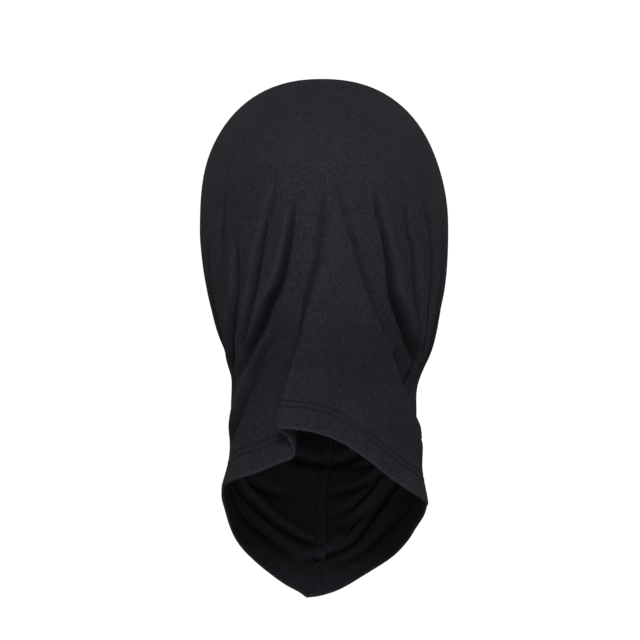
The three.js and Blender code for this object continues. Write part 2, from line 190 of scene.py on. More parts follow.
def section(z):
    """Half width, back reach and front reach at a height below the crown."""
    low = [smooth_through(LEVELS, reach, -z) for reach in (SIDES, BACKS, FRONTS)]
    up = np.clip(1 + z / CROWN_DEPTH, 0, 1)
    share = (1 - up**CROWN_ROUNDNESS) ** (1 / CROWN_ROUNDNESS)
    high = [reach * share for reach in (SIDES[0], BACKS[0], FRONTS[0])]
    return [np.where(z < -CROWN_DEPTH, a, b) for a, b in zip(low, high)]


def skin(turn, z):
    """The outer face of the cloth without folds: a superellipse in plan at every height."""
    side, back, front = section(z)
    reach = np.where(np.cos(turn) > 0, back, front)
    x = side * signed_power(np.sin(turn), 2 / PLAN_ROUNDNESS)
    y = reach * signed_power(np.cos(turn), 2 / PLAN_ROUNDNESS)
    return np.stack(np.broadcast_arrays(x, y, z + CLOTH), -1)


def crown_height(angle):
    """Height at an angle that runs from 0 at the top of the crown to a quarter turn at its widest level."""
    return -CROWN_DEPTH * (1 - np.cos(angle) ** (2 / CROWN_ROUNDNESS))


def normal_of(surface, turn, z):
    """Outward normal, from small differences around and down. Near the top it is straight up."""
    small = 2e-3
    around = surface(turn + small, z) - surface(turn - small, z)
    share = np.clip(1 + z / CROWN_DEPTH, 0, 1) ** (CROWN_ROUNDNESS / 2)
    angle = np.arccos(share)
    above = np.where(z > -CROWN_DEPTH, crown_height(np.maximum(angle - small, 0)), z + 0.1)
    below = np.where(z > -CROWN_DEPTH, crown_height(np.minimum(angle + small, np.pi / 2)), z - 0.1)
    down = surface(turn, below) - surface(turn, above)
    normal = np.cross(around, down)
    length = np.linalg.norm(normal, axis=-1, keepdims=True)
    top = (z > -1e-3)[..., None] | (length < 1e-12)
    return np.where(top, np.array([0.0, 0.0, 1.0]), normal / np.maximum(length, 1e-12))


print("widest level:", SIDES[0] * 2, "mm across,", BACKS[0] + FRONTS[0], "mm deep")

# %% [markdown]
# ## The folds
# The hood stands away from nothing above the ears, so the dome is smooth. Below, the cloth is wider than the
# neck and has to go somewhere: it gathers in folds that fan down from the back of the head. One curtain-like
# panel hangs straight between two long creases, and its left edge laps over the cloth beside it, so the hem
# there doubles back in a pleat. Simulation would give folds, but not in these places. Each fold is drawn
# instead: a line that gives its turn at every height, how far it is pressed in and how wide, and all of them
# are added up as one field of displacement.

# %% Fold lines
DEGREE = math.pi / 180


def down_line(points):
    """A fold line: its turn, in radians, as a smooth function of height."""
    turns, heights = np.array(points, float).T
    return lambda z: smooth_through(-heights, turns * DEGREE, -z)


def life(start, full, fade, end, z):
    """How much of a fold there is at a height: none above start, all from full to fade, none below end."""
    come = ramp(-start, -full, -z)
    go = 1 - ramp(-fade, -end, -z)
    return come * go


PANEL_LEFT = down_line([(0.4, -76), (2.8, -119), (6.1, -136), (11.7, -167), (18.0, -195), (21.2, -215),
                        (22.5, -245)])
PANEL_RIGHT = down_line([(-6, -70), (-12.7, -113), (-22, -146), (-40, -182), (-62, -214), (-80, -236),
                         (-86, -260)])

# Name: line, heights of its life (start, full, fade, end), depth and half width at the top and at the bottom,
# then the height of the ridge beside it and its side, +1 towards the wearer's left.
PINCHES = {
    "left ear": ([(49.7, -80), (51.5, -98), (54, -122)], (-76, -90, -108, -130), (2.2, 1.6), (2.0, 1.9),
                 1.0, 1),
    "left temple": ([(42, -106), (44.5, -135), (50, -152), (60, -172), (70, -190)], (-98, -126, -172, -206),
                    (2.6, 1.7), (6.0, 2.8), 2.6, 1),
    "left long": ([(20.6, -72), (25.4, -99), (29.6, -120), (34, -140), (41, -160), (50, -178)],
                  (-68, -88, -150, -188), (3.0, 1.6), (4.4, 2.4), 2.1, 1),
    "left inner": ([(12.4, -84), (15, -112), (20, -134), (26, -146), (34, -162), (46, -178), (62, -200)],
                   (-78, -96, -158, -200), (3.2, 1.7), (5.6, 3.0), 2.6, 1),
    "panel left": ([(0.4, -72), (2.8, -119), (6.1, -136), (11.7, -167), (18.0, -195), (21.2, -215)],
                   (-68, -96, -196, -218), (1.7, 1.8), (3.6, 2.6), 0.3, 1),
    "left flap": ([(22, -158), (34, -176), (44.6, -191), (66, -218), (80, -234)], (-156, -182, -222, -246),
                  (1.6, 3.0), (2.0, 3.6), 2.0, 1),
    "right panel": ([(-6, -74), (-13.5, -113), (-23, -146), (-41, -182), (-62, -214)], (-68, -88, -150, -196),
                    (1.6, 1.6), (1.6, 2.2), 0.2, -1),
    "right long": ([(-22, -80), (-25.5, -100), (-29.3, -120), (-34, -141), (-48, -166), (-62, -186)],
                   (-74, -90, -152, -212), (3.4, 1.8), (6.2, 3.2), 2.0, -1),
    "right inner": ([(-38, -90), (-43, -114), (-48, -140), (-56, -166), (-64, -184)], (-82, -98, -146, -194),
                    (2.6, 1.6), (4.2, 2.4), 1.6, -1),
    "right temple": ([(-51, -76), (-56, -104), (-60, -135), (-62, -168), (-68, -188)], (-70, -92, -146, -200),
                     (2.0, 1.8), (3.4, 2.4), 1.3, -1),
    "right edge": ([(-66, -78), (-70, -110), (-72, -150), (-76, -186)], (-76, -110, -170, -194),
                   (1.4, 2.0), (2.2, 2.2), 1.0, -1),
    "right recess": ([(-44, -176), (-51.5, -191), (-61, -210), (-71, -233), (-76, -250)],
                     (-168, -188, -232, -258),
                     (2.6, 1.7), (3.8, 1.9), 1.6, 1),
    "left edge": ([(66, -92), (69, -120), (73, -150), (78, -176)], (-90, -118, -160, -184),
                  (1.4, 2.0), (2.0, 2.4), 1.0, 1),
}

# Depth of every pinch as a share of its table value; where its ridge stands, in half widths, and how fast the
# ridge falls on its valley's side and on the other.
FOLD_DEPTH = 1.3
RIDGE_PLACE = 1.3
RIDGE_SLOPES = (0.8, 2.4)
VALLEY_HALF = 0.9


def bell(distance, width):
    """1 at no distance, falling to both sides like a bell."""
    return np.exp(-((distance / width) ** 2))


def arc_radius(turn, z):
    """Millimetres of cloth to each radian of turn, near enough: a blend of the half width and the reach."""
    side, back, front = section(z)
    share = np.cos(turn) ** 2
    return side * share + np.where(np.cos(turn) > 0, back, front) * (1 - share)


def across(line, turn, z):
    """Distance over the cloth from a fold line, with the line's lean allowed for; + is the wearer's left."""
    lean = (line(z + 0.5) - line(z - 0.5)) * arc_radius(turn, z)
    return (turn - line(z)) * arc_radius(turn, z) / np.sqrt(1 + lean**2)


def pinch_push(turn, z):
    """Sum over the pinched folds of a narrow valley and a softer ridge on one side of it."""
    push = np.zeros(np.broadcast(turn, z).shape)
    for points, span, top, bottom, ridge, side in PINCHES.values():
        line = down_line(points)
        live = life(*span, z)
        share = ramp(-span[1], -span[2], -z)
        depth = top[0] + (bottom[0] - top[0]) * share
        width = top[1] + (bottom[1] - top[1]) * share
        away = across(line, turn, z)
        crest = side * away / width - RIDGE_PLACE
        slope = np.where(crest < 0, *RIDGE_SLOPES)
        valley = bell(away / width + 0.15 * side, VALLEY_HALF)
        push += live * FOLD_DEPTH * (ridge * bell(crest, slope) - depth * valley)
    return push


# %% [markdown]
# ### Creases that lap
# The two edges of the hanging panel are more than valleys: the panel stands proud, and its edge hangs over
# the cloth beside it. Cloth that doubles back can't be made by pushing points in and out only. They also
# slide sideways: just inside the edge they slide out over it, and just outside they slide back under it.
# Where the slide is steeper than the cloth between two points, the sheet turns over itself in an S, as a
# pleat does.


# %% Laps
def lap(away, cloth_half, slide, proud, inner_reach, outer_reach):
    """Slide and push of a lapped edge at a signed distance from its line, negative on the panel's side.
    The slide is an odd hump, largest one half cloth width from the line; the push is a soft step."""
    t = away / cloth_half
    hump = -t * np.exp(0.5 * (1 - t * t))
    step = -np.tanh(1.3 * t)
    fade = np.where(t < 0, np.exp(-((away / inner_reach) ** 2)), np.exp(-((away / outer_reach) ** 2)))
    return slide * hump, proud * step * fade


def lapped_edges(turn, z):
    """Slide over the cloth, towards the wearer's left, and push outwards, for both edges of the panel."""
    left = across(PANEL_LEFT, turn, z)
    grow = ramp(88, 228, -z)
    slide_left, push_left = lap(
        left, 4.0 + 1.5 * grow, 9.0 * ramp(120, 236, -z), 0.7 * ramp(74, 96, -z) + 6.3 * grow**1.3,
        13 + 10 * grow, 11 + 19 * grow)
    right = -across(PANEL_RIGHT, turn, z)
    grow = ramp(80, 200, -z)
    ebb = 1 - 0.85 * ramp(222, 262, -z)
    slide_right, push_right = lap(
        right, 4.0, 4.2 * ramp(130, 200, -z) * ebb, (0.5 * ramp(68, 96, -z) + 4.2 * grow) * ebb,
        12 + 10 * grow, 9 + 8 * grow)
    slide = slide_left - slide_right
    return slide, push_left + push_right


# %% [markdown]
# ### Swags in the front of the neck
# The front of the neck hangs below the chin with nothing in it. Its two corners are held up at the sides, so
# the cloth between them sags in curves like a smile. These folds are drawn the other way round: a line that
# gives its height at every turn. The seam in the middle stops some of them short.

# %% Swags
# Name: line as (turn, height) pairs, turns over which it lives (start, full, fade, end), how deep, half
# width.
SWAGS = {
    "throat smile": ([(126, -224), (142, -236), (158, -246), (172, -251), (182, -253), (193, -251),
                      (206, -242), (224, -224)], (120, 146, 206, 236), 6.0, 2.8),
    "throat hollow": ([(132, -214), (150, -225), (166, -231), (182, -233), (198, -230), (216, -216)],
                      (124, 150, 204, 232), 2.5, 5.5),
    "left short": ([(124, -255), (134, -262), (147, -268), (158, -273), (172, -275)], (118, 134, 156, 174),
                   4.0, 2.4),
    "left long": ([(116, -258), (127, -265.5), (141, -277), (151, -286.5), (163, -296.5), (172, -303),
                   (182, -307)], (116, 132, 172, 184), 6.8, 2.1),
    "left long twin": ([(130, -271), (141, -281), (153, -291), (162, -299), (171, -305), (182, -310)],
                       (134, 146, 164, 178), 1.4, 1.5),
    "right upper": ([(180, -273), (189, -272), (197, -270), (209, -264), (222, -254), (238, -240)],
                    (182, 192, 222, 246), 4.2, 2.2),
    "right first": ([(188, -254), (201, -254), (212, -252), (226, -242)], (190, 202, 218, 234), 2.2, 1.9),
    "right middle": ([(182, -289), (189, -287), (197, -282), (205, -275), (224, -258)], (182, 192, 212, 236),
                     3.0, 2.4),
    "right dark": ([(184, -298), (194, -294), (204, -288), (214, -278), (228, -262)], (184, 200, 220, 240),
                   4.4, 3.2),
    "right long": ([(176, -317), (187, -313), (197.5, -306), (205, -296), (211.5, -286), (220, -275),
                    (231, -262), (244, -246)], (170, 186, 232, 252), 6.8, 2.3),
    "right twin": ([(184, -310), (190, -305), (195, -300), (202, -290), (211, -281)], (182, 192, 206, 222),
                   3.0, 1.8),
    "low left": ([(130, -284), (142, -293), (153, -302), (165, -314), (175, -324)], (124, 142, 160, 180),
                 2.0, 3.6),
    "low right": ([(186, -322), (203, -314), (215, -302), (228, -290)], (184, 198, 216, 236), 2.0, 3.8),
}


# A swag's valley and lip as shares of its depth; where the lip stands, and how fast it falls on each side.
SWAG_VALLEY = 0.75
SWAG_LIP = 0.7
LIP_PLACE = 1.7
LIP_SLOPES = (0.8, 2.2)


def swag_push(turn, z):
    """Sum over the swags of a valley that goes outwards and a lip above it that comes inwards."""
    whole = np.where(turn < 0, turn + 2 * np.pi, turn) / DEGREE
    push = np.zeros(np.broadcast(turn, z).shape)
    for points, (start, full, fade, end), depth, width in SWAGS.values():
        turns, heights = np.array(points, float).T
        line = smooth_through(turns, heights, whole)
        slope = (smooth_through(turns, heights, whole + 1) - smooth_through(turns, heights, whole - 1)) / 2
        slant = slope / (arc_radius(turn, z) * DEGREE)
        live = ramp(start, full, whole) * (1 - ramp(fade, end, whole))
        away = (z - line) / np.sqrt(1 + slant**2)
        lip = away / width - LIP_PLACE
        valley = SWAG_VALLEY * bell(away / width, VALLEY_HALF)
        push += live * depth * (valley - SWAG_LIP * bell(lip, np.where(lip < 0, *LIP_SLOPES)))
    return push


# %% [markdown]
# ### All folds together
# The hood's final surface is the worn shape, moved outwards by the sum of the folds, slid sideways at the
# laps, and shifted where the two sides differ. Near the face opening, where the elastic holds the cloth
# flat against the cheeks, every fold dies away.

# %% The folded hood
THROAT_SHIFT = 4.0
TIP_SHIFT = 7.0
CROWN_SHIFT = 1.4
RIPPLE_DEPTH = 1.2
# Each kind of fold fades in over a share of the way from the middle of the front, 0, to that of the back, 1.
LAP_GATE = (0.08, 0.3)
PINCH_GATE = (0.1, 0.35)
SWAG_GATE = (0.75, 0.5)


def face_calm(turn, z):
    """1 away from the face opening and 0 at it: where folds may be."""
    front = np.abs(np.abs(turn) - np.pi)
    high = ramp(206, 226, -z)
    return np.maximum(1 - ramp(math.radians(100), math.radians(62), front), high)


def ripple(turn, z):
    """Low, wide unevenness of resting cloth: three crossing waves that no fold line follows."""
    a = np.sin(5 * turn + 0.021 * z + 1.3) * np.sin(0.038 * z + 2 * turn)
    b = np.sin(9 * turn - 0.043 * z) * np.sin(0.061 * z + 0.7 - 3 * turn)
    c = np.sin(14 * turn + 0.083 * z + 0.4) * np.sin(0.12 * z - 5 * turn)
    return 0.5 * a + 0.28 * b + 0.14 * c


def gathered(turn, z):
    """Push of the pinches, which fade out in front, and push of the swags, which fade out behind."""
    behind = 0.5 + 0.5 * np.cos(turn)
    return pinch_push(turn, z) * ramp(*PINCH_GATE, behind), swag_push(turn, z) * ramp(*SWAG_GATE, behind)


def hood(turn, z):
    """The folded outer face of the hood, in mm: worn shape, plus side widths, plus folds."""
    turn = np.asarray(turn, float)
    z = np.asarray(z, float)
    turn, z = np.broadcast_arrays(turn, z)
    behind = 0.5 + 0.5 * np.cos(turn)
    slide, push = lapped_edges(turn, z)
    slide = slide * ramp(*LAP_GATE, behind)
    push = push * ramp(*LAP_GATE, behind)
    where = turn + slide / arc_radius(turn, z)
    base = skin(where, z)
    wide = np.abs(np.sin(where)) ** 3
    table = np.where(np.sin(where) > 0, smooth_through(SIDE_LEVELS, LEFT_SIDES, -z),
                     smooth_through(SIDE_LEVELS, RIGHT_SIDES, -z))
    side = section(z)[0]
    low = z < -CROWN_DEPTH
    base[..., 0] += np.where(low, (table - side) * wide * np.sign(np.sin(where)), 0)
    calm = face_calm(turn, z)
    pinched, swagged = gathered(turn, z)
    push = push + pinched + swagged
    push = push + RIPPLE_DEPTH * ripple(turn, z) * ramp(110, 200, -z)
    out = normal_of(skin, where, z)
    moved = base + out * (push * calm)[..., None]
    front = ramp(-0.05, 0.42, -np.cos(turn))
    moved[..., 0] += (THROAT_SHIFT * ramp(240, 275, -z) + TIP_SHIFT * ramp(305, 345, -z)) * front
    moved[..., 0] += CROWN_SHIFT * (1 - ramp(45, 92, -z))
    return moved


def laid(turn, z, depth):
    """A point at a depth under the hood's outer face; a negative depth stands off it."""
    return hood(turn, z) - normal_of(hood, turn, z) * np.asarray(depth)[..., None]


# %% [markdown]
# ## The neck hem
# The hem's edge is short behind and falls to a point in front. Behind, it drops at the pleat, because the
# cloth that turns back there hangs lower than the panel in front of it.

# %% The hem's height
HEM_TURNS = [-180, -169, -161, -151, -140, -129, -118, -110, -100, -90, -76, -62, -45, -26, -7, 8, 17.5,
             22, 26.5, 32, 44, 64, 87, 97, 106, 113, 120, 126, 133, 144, 156, 168, 176, 180]
HEM_DROPS = [341.5, 338.6, 334.2, 326.2, 317.8, 309.2, 299.8, 291.5, 283, 276, 271.5, 266, 257, 243.5,
             230.5, 223.4, 222.5, 227, 240, 245, 250.5, 256, 262.5, 264, 267.5, 276.5, 289, 298.5, 307,
             316, 324.8, 333.2, 338.2, 341.5]
HEM_TURN_UP = 20.0


def hem_height(turn):
    """Height of the hem's edge at a turn."""
    return -smooth_through(np.array(HEM_TURNS) * DEGREE, HEM_DROPS, turn)


# %% [markdown]
# ## The hood: one sheet
# The real hood is one piece of cloth, so this is one grid. Its columns run from the front seam round the
# back to the front seam again, crowded where the folds are. Its rows run from the top of the crown down to
# the hem, round the fold and up the inside of the turn-up. At both ends the cloth turns in and stands as a
# seam allowance. The face opening is cut by leaving out faces; the raw edge hides inside the binding.

# %% Columns and rows
COLUMNS = 290
CROWN_ROWS = 26
BODY_ROWS = 92
CHIN_LEVEL = 206.0
CHIN_SHARE = 0.3
HEM_ROW_HIGH = 18.5
HEM_ROW_LOW = 14.5
HEM_PLY_GAP = 0.15
HEM_INNER = 2 * CLOTH + HEM_PLY_GAP
# The band below the top needle row, as distance above the edge and the depth of the two stitched channels.
BAND = np.array([(19.3, 0), (18.9, 0.2), (18.5, 0.45), (18.1, 0.2), (17.4, 0), (16.5, -0.1), (15.6, 0),
                 (14.9, 0.2), (14.5, 0.45), (14.1, 0.2), (13.3, 0), (11, 0), (8.4, 0), (5.8, 0), (3.2, 0),
                 (0.9, 0)], float)
BAND_END = CROWN_ROWS + BODY_ROWS + len(BAND)
BEND_ROWS = 7
TURN_UP_ROWS = 9
CROWDING = 0.42


def crowded_turns(count):
    """Turns between -180 and 180 degrees, closer together behind than in front, and none on the seam."""
    even = (np.arange(count) + 0.7) / (count + 0.4) * 2 * np.pi - np.pi
    return even - CROWDING * np.sin(even)


def hood_rows(turn):
    """Height and depth of every row of the sheet at each of the given turns, as rows x columns."""
    edge = hem_height(turn)[None, :]
    top = crown_height(np.pi / 2 * np.linspace(0, 1, CROWN_ROWS + 1)[1:, None])
    share = np.linspace(0, 1, BODY_ROWS + 1)[1:, None]
    above_chin = (CHIN_LEVEL - CROWN_DEPTH) / -(edge + HEM_TURN_UP + CROWN_DEPTH)
    crowded = np.where(share < CHIN_SHARE, share / CHIN_SHARE * above_chin,
                       above_chin + (share - CHIN_SHARE) / (1 - CHIN_SHARE) * (1 - above_chin))
    share = share + (crowded - share) * ramp(math.radians(80), math.radians(125), np.abs(turn))[None, :]
    body = -CROWN_DEPTH + (edge + HEM_TURN_UP + CROWN_DEPTH) * share
    bend = np.pi * np.linspace(0, 1, BEND_ROWS)[1:, None]
    up = np.linspace(CLOTH, HEM_TURN_UP, TURN_UP_ROWS)[1:, None]
    heights = [top + 0 * edge, body, edge + BAND[:, :1], edge + CLOTH * (1 - np.sin(bend)), edge + up]
    depths = [0 * heights[0], 0 * body, BAND[:, 1:] + 0 * edge,
              HEM_INNER / 2 * (1 - np.cos(bend)) + 0 * edge, HEM_INNER + 0 * heights[4]]
    return np.concatenate(heights), np.concatenate(depths)


turns = crowded_turns(COLUMNS)
heights, depths = hood_rows(turns)
print("columns", COLUMNS, "rows", len(heights), "closest", round(float(np.diff(turns).min() / DEGREE), 2),
      "deg")

# %% [markdown]
# ### The front seam and the seam on the crown
# The two edges of the sheet meet in the middle of the front. Each turns inwards as an allowance, back to
# back with the other, and both lie over to one side, almost flat, as they do after washing. The outside
# shows only a fine groove. The same few columns make both: their sideways place and depth are a short
# table, carried down the whole seam. In the hem they are stubs, which lap by a hair so that no light comes
# between them.

# %% Seam allowances
SEAM_ALLOWANCE = 6.0
SEAM_SIDE = np.array([1.1, 0.62, 0.28, 0.08, 0.02, 0.02, 0.02])
SEAM_DEPTH = np.array([0.05, 0.28, 0.75, 1.4, 3.0, 4.9, CLOTH + SEAM_ALLOWANCE])
SEAM_STUB = np.array([0.05, 0.2, 0.4, 0.52, 0.6, 0.68, 0.75])
SEAM_LAP = 0.1
SEAM_LEAN = math.radians(80)


def seam_turned(side, depth, lean):
    """Sideways place and depth once everything below the cloth is turned over by the lean, round its root."""
    below = np.maximum(depth - CLOTH, 0)
    return side - below * np.sin(lean), depth - below * (1 - np.cos(lean))


def seam_point(z, side, depth):
    """A point beside the seam: so far sideways from its line and so deep under the outer face."""
    foot = hood(np.pi + 0 * z, z)
    inward = -normal_of(hood, np.pi + 0 * z, z)
    point = foot + inward * np.asarray(depth)[..., None]
    point[..., 0] += side
    return point


def seam_columns(sign):
    """The allowance on one side of the seam, as rows x columns of points, from the cloth to its raw edge."""
    z, under = hood_rows(np.array([np.pi]))
    whole = CROWN_ROWS + BODY_ROWS
    row = np.arange(len(z))[:, None]
    stands = ramp(1, 7, row) * (1 - ramp(whole - 3, whole, row))
    reach = SEAM_STUB + np.maximum(SEAM_DEPTH - SEAM_STUB, 0) * stands
    beside = SEAM_SIDE - SEAM_LAP * (1 - stands) * (SEAM_SIDE < SEAM_LAP)
    side, depth = seam_turned(sign * beside, reach, SEAM_LEAN * stands)
    turned_up = np.where(row > BAND_END + 2, -1, 1)
    return seam_point(z + 0 * side, side, under + turned_up * depth)


# %% [markdown]
# ### The face opening
# The opening is an egg shape drawn on the cloth laid flat: its width is measured over the cloth, and its
# height straight down. A point of it is found on the hood by walking that width round from the middle of the
# front.

# %% Outline of the face opening
FACE_TOP = 74.0
FACE_BOTTOM = 200.0
FACE_HALF_WIDTH = 68.0
FACE_EGG = 0.1
FACE_MIDDLE = -(FACE_TOP + FACE_BOTTOM) / 2
FACE_HALF_HEIGHT = (FACE_BOTTOM - FACE_TOP) / 2
WALK = np.linspace(0, math.radians(125), 126)


def face_outline(angle, margin):
    """Width over the cloth and height of the egg: sine wide, cosine high, wider at the brow, grown."""
    def egg(a):
        """The bare outline."""
        return np.stack([FACE_HALF_WIDTH * np.sin(a) * (1 + FACE_EGG * np.cos(a)),
                         FACE_MIDDLE + FACE_HALF_HEIGHT * np.cos(a)], -1)
    along = egg(angle + 1e-3) - egg(angle - 1e-3)
    along /= np.linalg.norm(along, axis=-1, keepdims=True)
    return egg(angle) + np.stack([-along[..., 1], along[..., 0]], -1) * np.asarray(margin)[..., None]


def turn_over(width, z):
    """The turn, away from the middle of the front, that a width over the cloth spans at a height."""
    flat_z = np.ravel(z)[:, None]
    path = skin(np.pi - WALK[None, :], flat_z)
    stride = np.linalg.norm(np.diff(path, axis=1), axis=-1)
    walked = np.concatenate([np.zeros((len(flat_z), 1)), np.cumsum(stride, 1)], 1)
    goal = np.abs(np.ravel(width))
    i = np.clip((walked < goal[:, None]).sum(1) - 1, 0, len(WALK) - 2)
    row = np.arange(len(goal))
    part = (goal - walked[row, i]) / (walked[row, i + 1] - walked[row, i])
    turn = WALK[i] + part * (WALK[1] - WALK[0])
    return (np.sign(np.ravel(width)) * turn).reshape(np.shape(width))


def face_point(angle, margin, depth):
    """A point round the face opening: at an angle from its top, so far out from its edge, at a depth."""
    at = face_outline(angle, margin)
    return laid(np.pi - turn_over(at[..., 0], at[..., 1]), at[..., 1], depth)


def inside_face(turn, z, margin):
    """True where a place on the cloth is inside the outline grown by the margin."""
    ratio = np.clip((z - FACE_MIDDLE) / (FACE_HALF_HEIGHT + margin), -1, 1)
    half = (FACE_HALF_WIDTH + margin) * np.sqrt(1 - ratio**2) * (1 + FACE_EGG * ratio)
    reach = turn_over(half, z)
    return (np.abs(np.abs(turn) - np.pi) < reach) & (np.abs(ratio) < 1)


# %% Build the sheet
FACE_TURNING = 2.2  # cloth left inside the outline for the binding to hold
CLOTH_RADIUS = 78.0  # mm of cloth to a radian, for laying the knit out
# Painted shade and painted highlight on the folds: push in mm that gives the full painted tone, and the
# painted shade laid over the turn-up.
PINCH_PAINTED_TONE_PUSH = 5.0  # mm of push that give the whole of the fold tone
SWAG_PAINTED_TONE_PUSH = 3.4
TURN_UP_PAINTED_SHADE = 0.3
left_fin = seam_columns(-1)[:, ::-1]
right_fin = seam_columns(1)
main = laid(turns[None, :] + 0 * heights, heights, depths)
grid = np.concatenate([left_fin, main, right_fin], 1)
rows, columns = grid.shape[:2]
fins = left_fin.shape[1]
pole = hood(np.array([0.0]), np.array([0.0]))
points = np.concatenate([pole, grid.reshape(-1, 3)])
quads = grid_faces(rows, columns) + 1
first = np.arange(columns - 1)
fan = np.stack([0 * first, first + 2, first + 1], -1)
edge_turns = np.concatenate([np.full(fins, -np.pi), turns, np.full(fins, np.pi)])
seam_heights = np.repeat(hood_rows(np.array([np.pi]))[0], fins, 1)
edge_heights = np.concatenate([seam_heights, heights, seam_heights], 1)
middle_turn = (edge_turns[:-1] + edge_turns[1:]) / 2 + 0 * edge_heights[:-1, :-1]
middle_z = (edge_heights[:-1, :-1] + edge_heights[1:, 1:]) / 2
cut = inside_face(middle_turn, middle_z, FACE_TURNING).ravel()
quads = quads[~cut]
used = np.zeros(len(points), bool)
used[quads.ravel()] = True
used[0] = True
renumber = np.cumsum(used) - 1
lay_out = np.stack([edge_turns[None, :] * CLOTH_RADIUS + 0 * edge_heights, edge_heights], -1).reshape(-1, 2)
uv = np.concatenate([[[0.0, 0.0]], lay_out])
hood_piece = new_piece("hood_jersey", points[used], [renumber[quads], renumber[fan]], uv=uv[used])
above_edge = edge_heights - hem_height(edge_turns)[None, :]
# Pale rub at the hem's folded edge is wear; the pale line just inside the panel's lapped left edge is a
# painted highlight.
lap_edge_highlight = 0.6 * bell(across(PANEL_LEFT, edge_turns[None, :],
                           edge_heights) + 4, 2.5) * ramp(150, 215, -edge_heights)
rub_and_highlight = np.maximum(bell(above_edge - 0.4, 1.3), lap_edge_highlight).ravel()
# The fold value: painted shade in the folds' valleys and inside the turn-up, painted highlight on the folds'
# crests.
pinched, swagged = gathered(edge_turns[None, :], edge_heights)
fold_shade_and_highlight = pinched / PINCH_PAINTED_TONE_PUSH - swagged / SWAG_PAINTED_TONE_PUSH
turn_up_rows = np.arange(rows)[:, None] > BAND_END + 4
fold_shade_and_highlight = np.clip(fold_shade_and_highlight - TURN_UP_PAINTED_SHADE * turn_up_rows, -1, 1).ravel()
for title, values in (("rub_and_highlight", rub_and_highlight), ("fold", fold_shade_and_highlight)):
    layer = hood_piece.data.attributes.new(title, "FLOAT", "POINT")
    layer.data.foreach_set("value", np.concatenate([[0.0], values])[used].astype(np.float32))
print("sheet faces", len(quads), "cut for the face", int(cut.sum()))


# %% Give the sheet its wall
PLY_CLEARANCE = 0.1
thicken(hood_piece, CLOTH - PLY_CLEARANCE)
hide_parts("hood_panel")

# %% [markdown]
# ## Threads
# Thread is a thin tube carried along a path. What makes a row read as sewing is its rhythm: each stitch
# lies on the cloth for most of its length and dives at both ends. So the path's depth goes up and down once
# a stitch, and the path is walked in equal distances, because a machine feeds equal distances.


# %% Tubes and walks
def facing(points, faces, outward=None):
    """The faces, turned round if they face the wrong way: against a given direction at the first face, or,
    for a closed body, when the signed volume is negative."""
    corner = points[faces]
    if outward is None:
        volume = np.einsum("ij,ij->i", corner[:, 0], np.cross(corner[:, 1], corner[:, 2])).sum()
        right = volume > 0
    else:
        normal = np.cross(corner[:, 1] - corner[:, 0], corner[:, 2] - corner[:, 0])
        right = np.einsum("ij,ij->i", normal, np.broadcast_to(outward, normal.shape)).sum() > 0
    return faces if right else faces[:, ::-1]


def even_walk(line, start, end, count):
    """Parameters of count + 1 places at equal distances along a line on the cloth."""
    dense = np.linspace(start, end, 2500)
    step = np.linalg.norm(np.diff(line(dense), axis=0), axis=1)
    gone = np.concatenate([[0], np.cumsum(step)])
    return np.interp(np.linspace(0, gone[-1], count + 1), gone, dense)


def length_of(line, start, end):
    """Length of a line on the cloth between two parameters."""
    return float(np.linalg.norm(np.diff(line(np.linspace(start, end, 1500)), axis=0), axis=1).sum())


def tube(name, path, up, radius, sides=6, closed=False, flatten=1.0):
    """A tube round a path: each ring stands across the path, in the directions of its side and of up."""
    along = np.roll(path, -1, 0) - np.roll(path, 1, 0) if closed else np.gradient(path, axis=0)
    along /= np.linalg.norm(along, axis=1, keepdims=True)
    side = np.cross(along, up)
    side /= np.linalg.norm(side, axis=1, keepdims=True)
    over = np.cross(side, along)
    turn = np.linspace(0, 2 * np.pi, sides, endpoint=False)
    ring = path[:, None] + radius * (
        np.cos(turn)[None, :, None] * side[:, None] + flatten * np.sin(turn)[None, :, None] * over[:, None])
    points = ring.reshape(-1, 3)
    count = len(path)
    faces = grid_faces(count + 1 if closed else count, sides, wrap=True)
    if closed:
        faces = facing(points, faces % (count * sides))
        return new_piece(name, points, [faces])
    ends = np.stack([path[0], path[-1]])
    points = np.concatenate([points, ends])
    k = np.arange(sides)
    n = (k + 1) % sides
    cap_a = np.stack([k, n, 0 * k + count * sides], -1)
    cap_b = np.stack([(count - 1) * sides + n, (count - 1) * sides + k, 0 * k + count * sides + 1], -1)
    quads = facing(points, faces)
    if quads is not faces:
        cap_a, cap_b = cap_a[:, ::-1], cap_b[:, ::-1]
    return new_piece(name, points, [quads, cap_a[:, ::-1], cap_b[:, ::-1]])


def needle_row(name, place, start, end, stitch, radius, closed=True, stand=0.1, dive=0.34):
    """One row of straight stitches. place(parameter, depth) gives points on the cloth."""
    per = 7
    count = round(length_of(lambda t: place(t, 0 * t), start, end) / stitch) * per
    at = even_walk(lambda t: place(t, 0 * t), start, end, count)
    at = at[:-1] if closed else at
    phase = (np.arange(len(at)) % per) / per
    depth = dive - (dive + stand) * np.sin(np.pi * phase) ** 0.45
    path = place(at, depth)
    up = place(at, 0 * at - 1) - place(at, 0 * at)
    row = tube(name, path, up, radius, closed=closed)
    print(name, len(at) // per, "stitches")
    return row


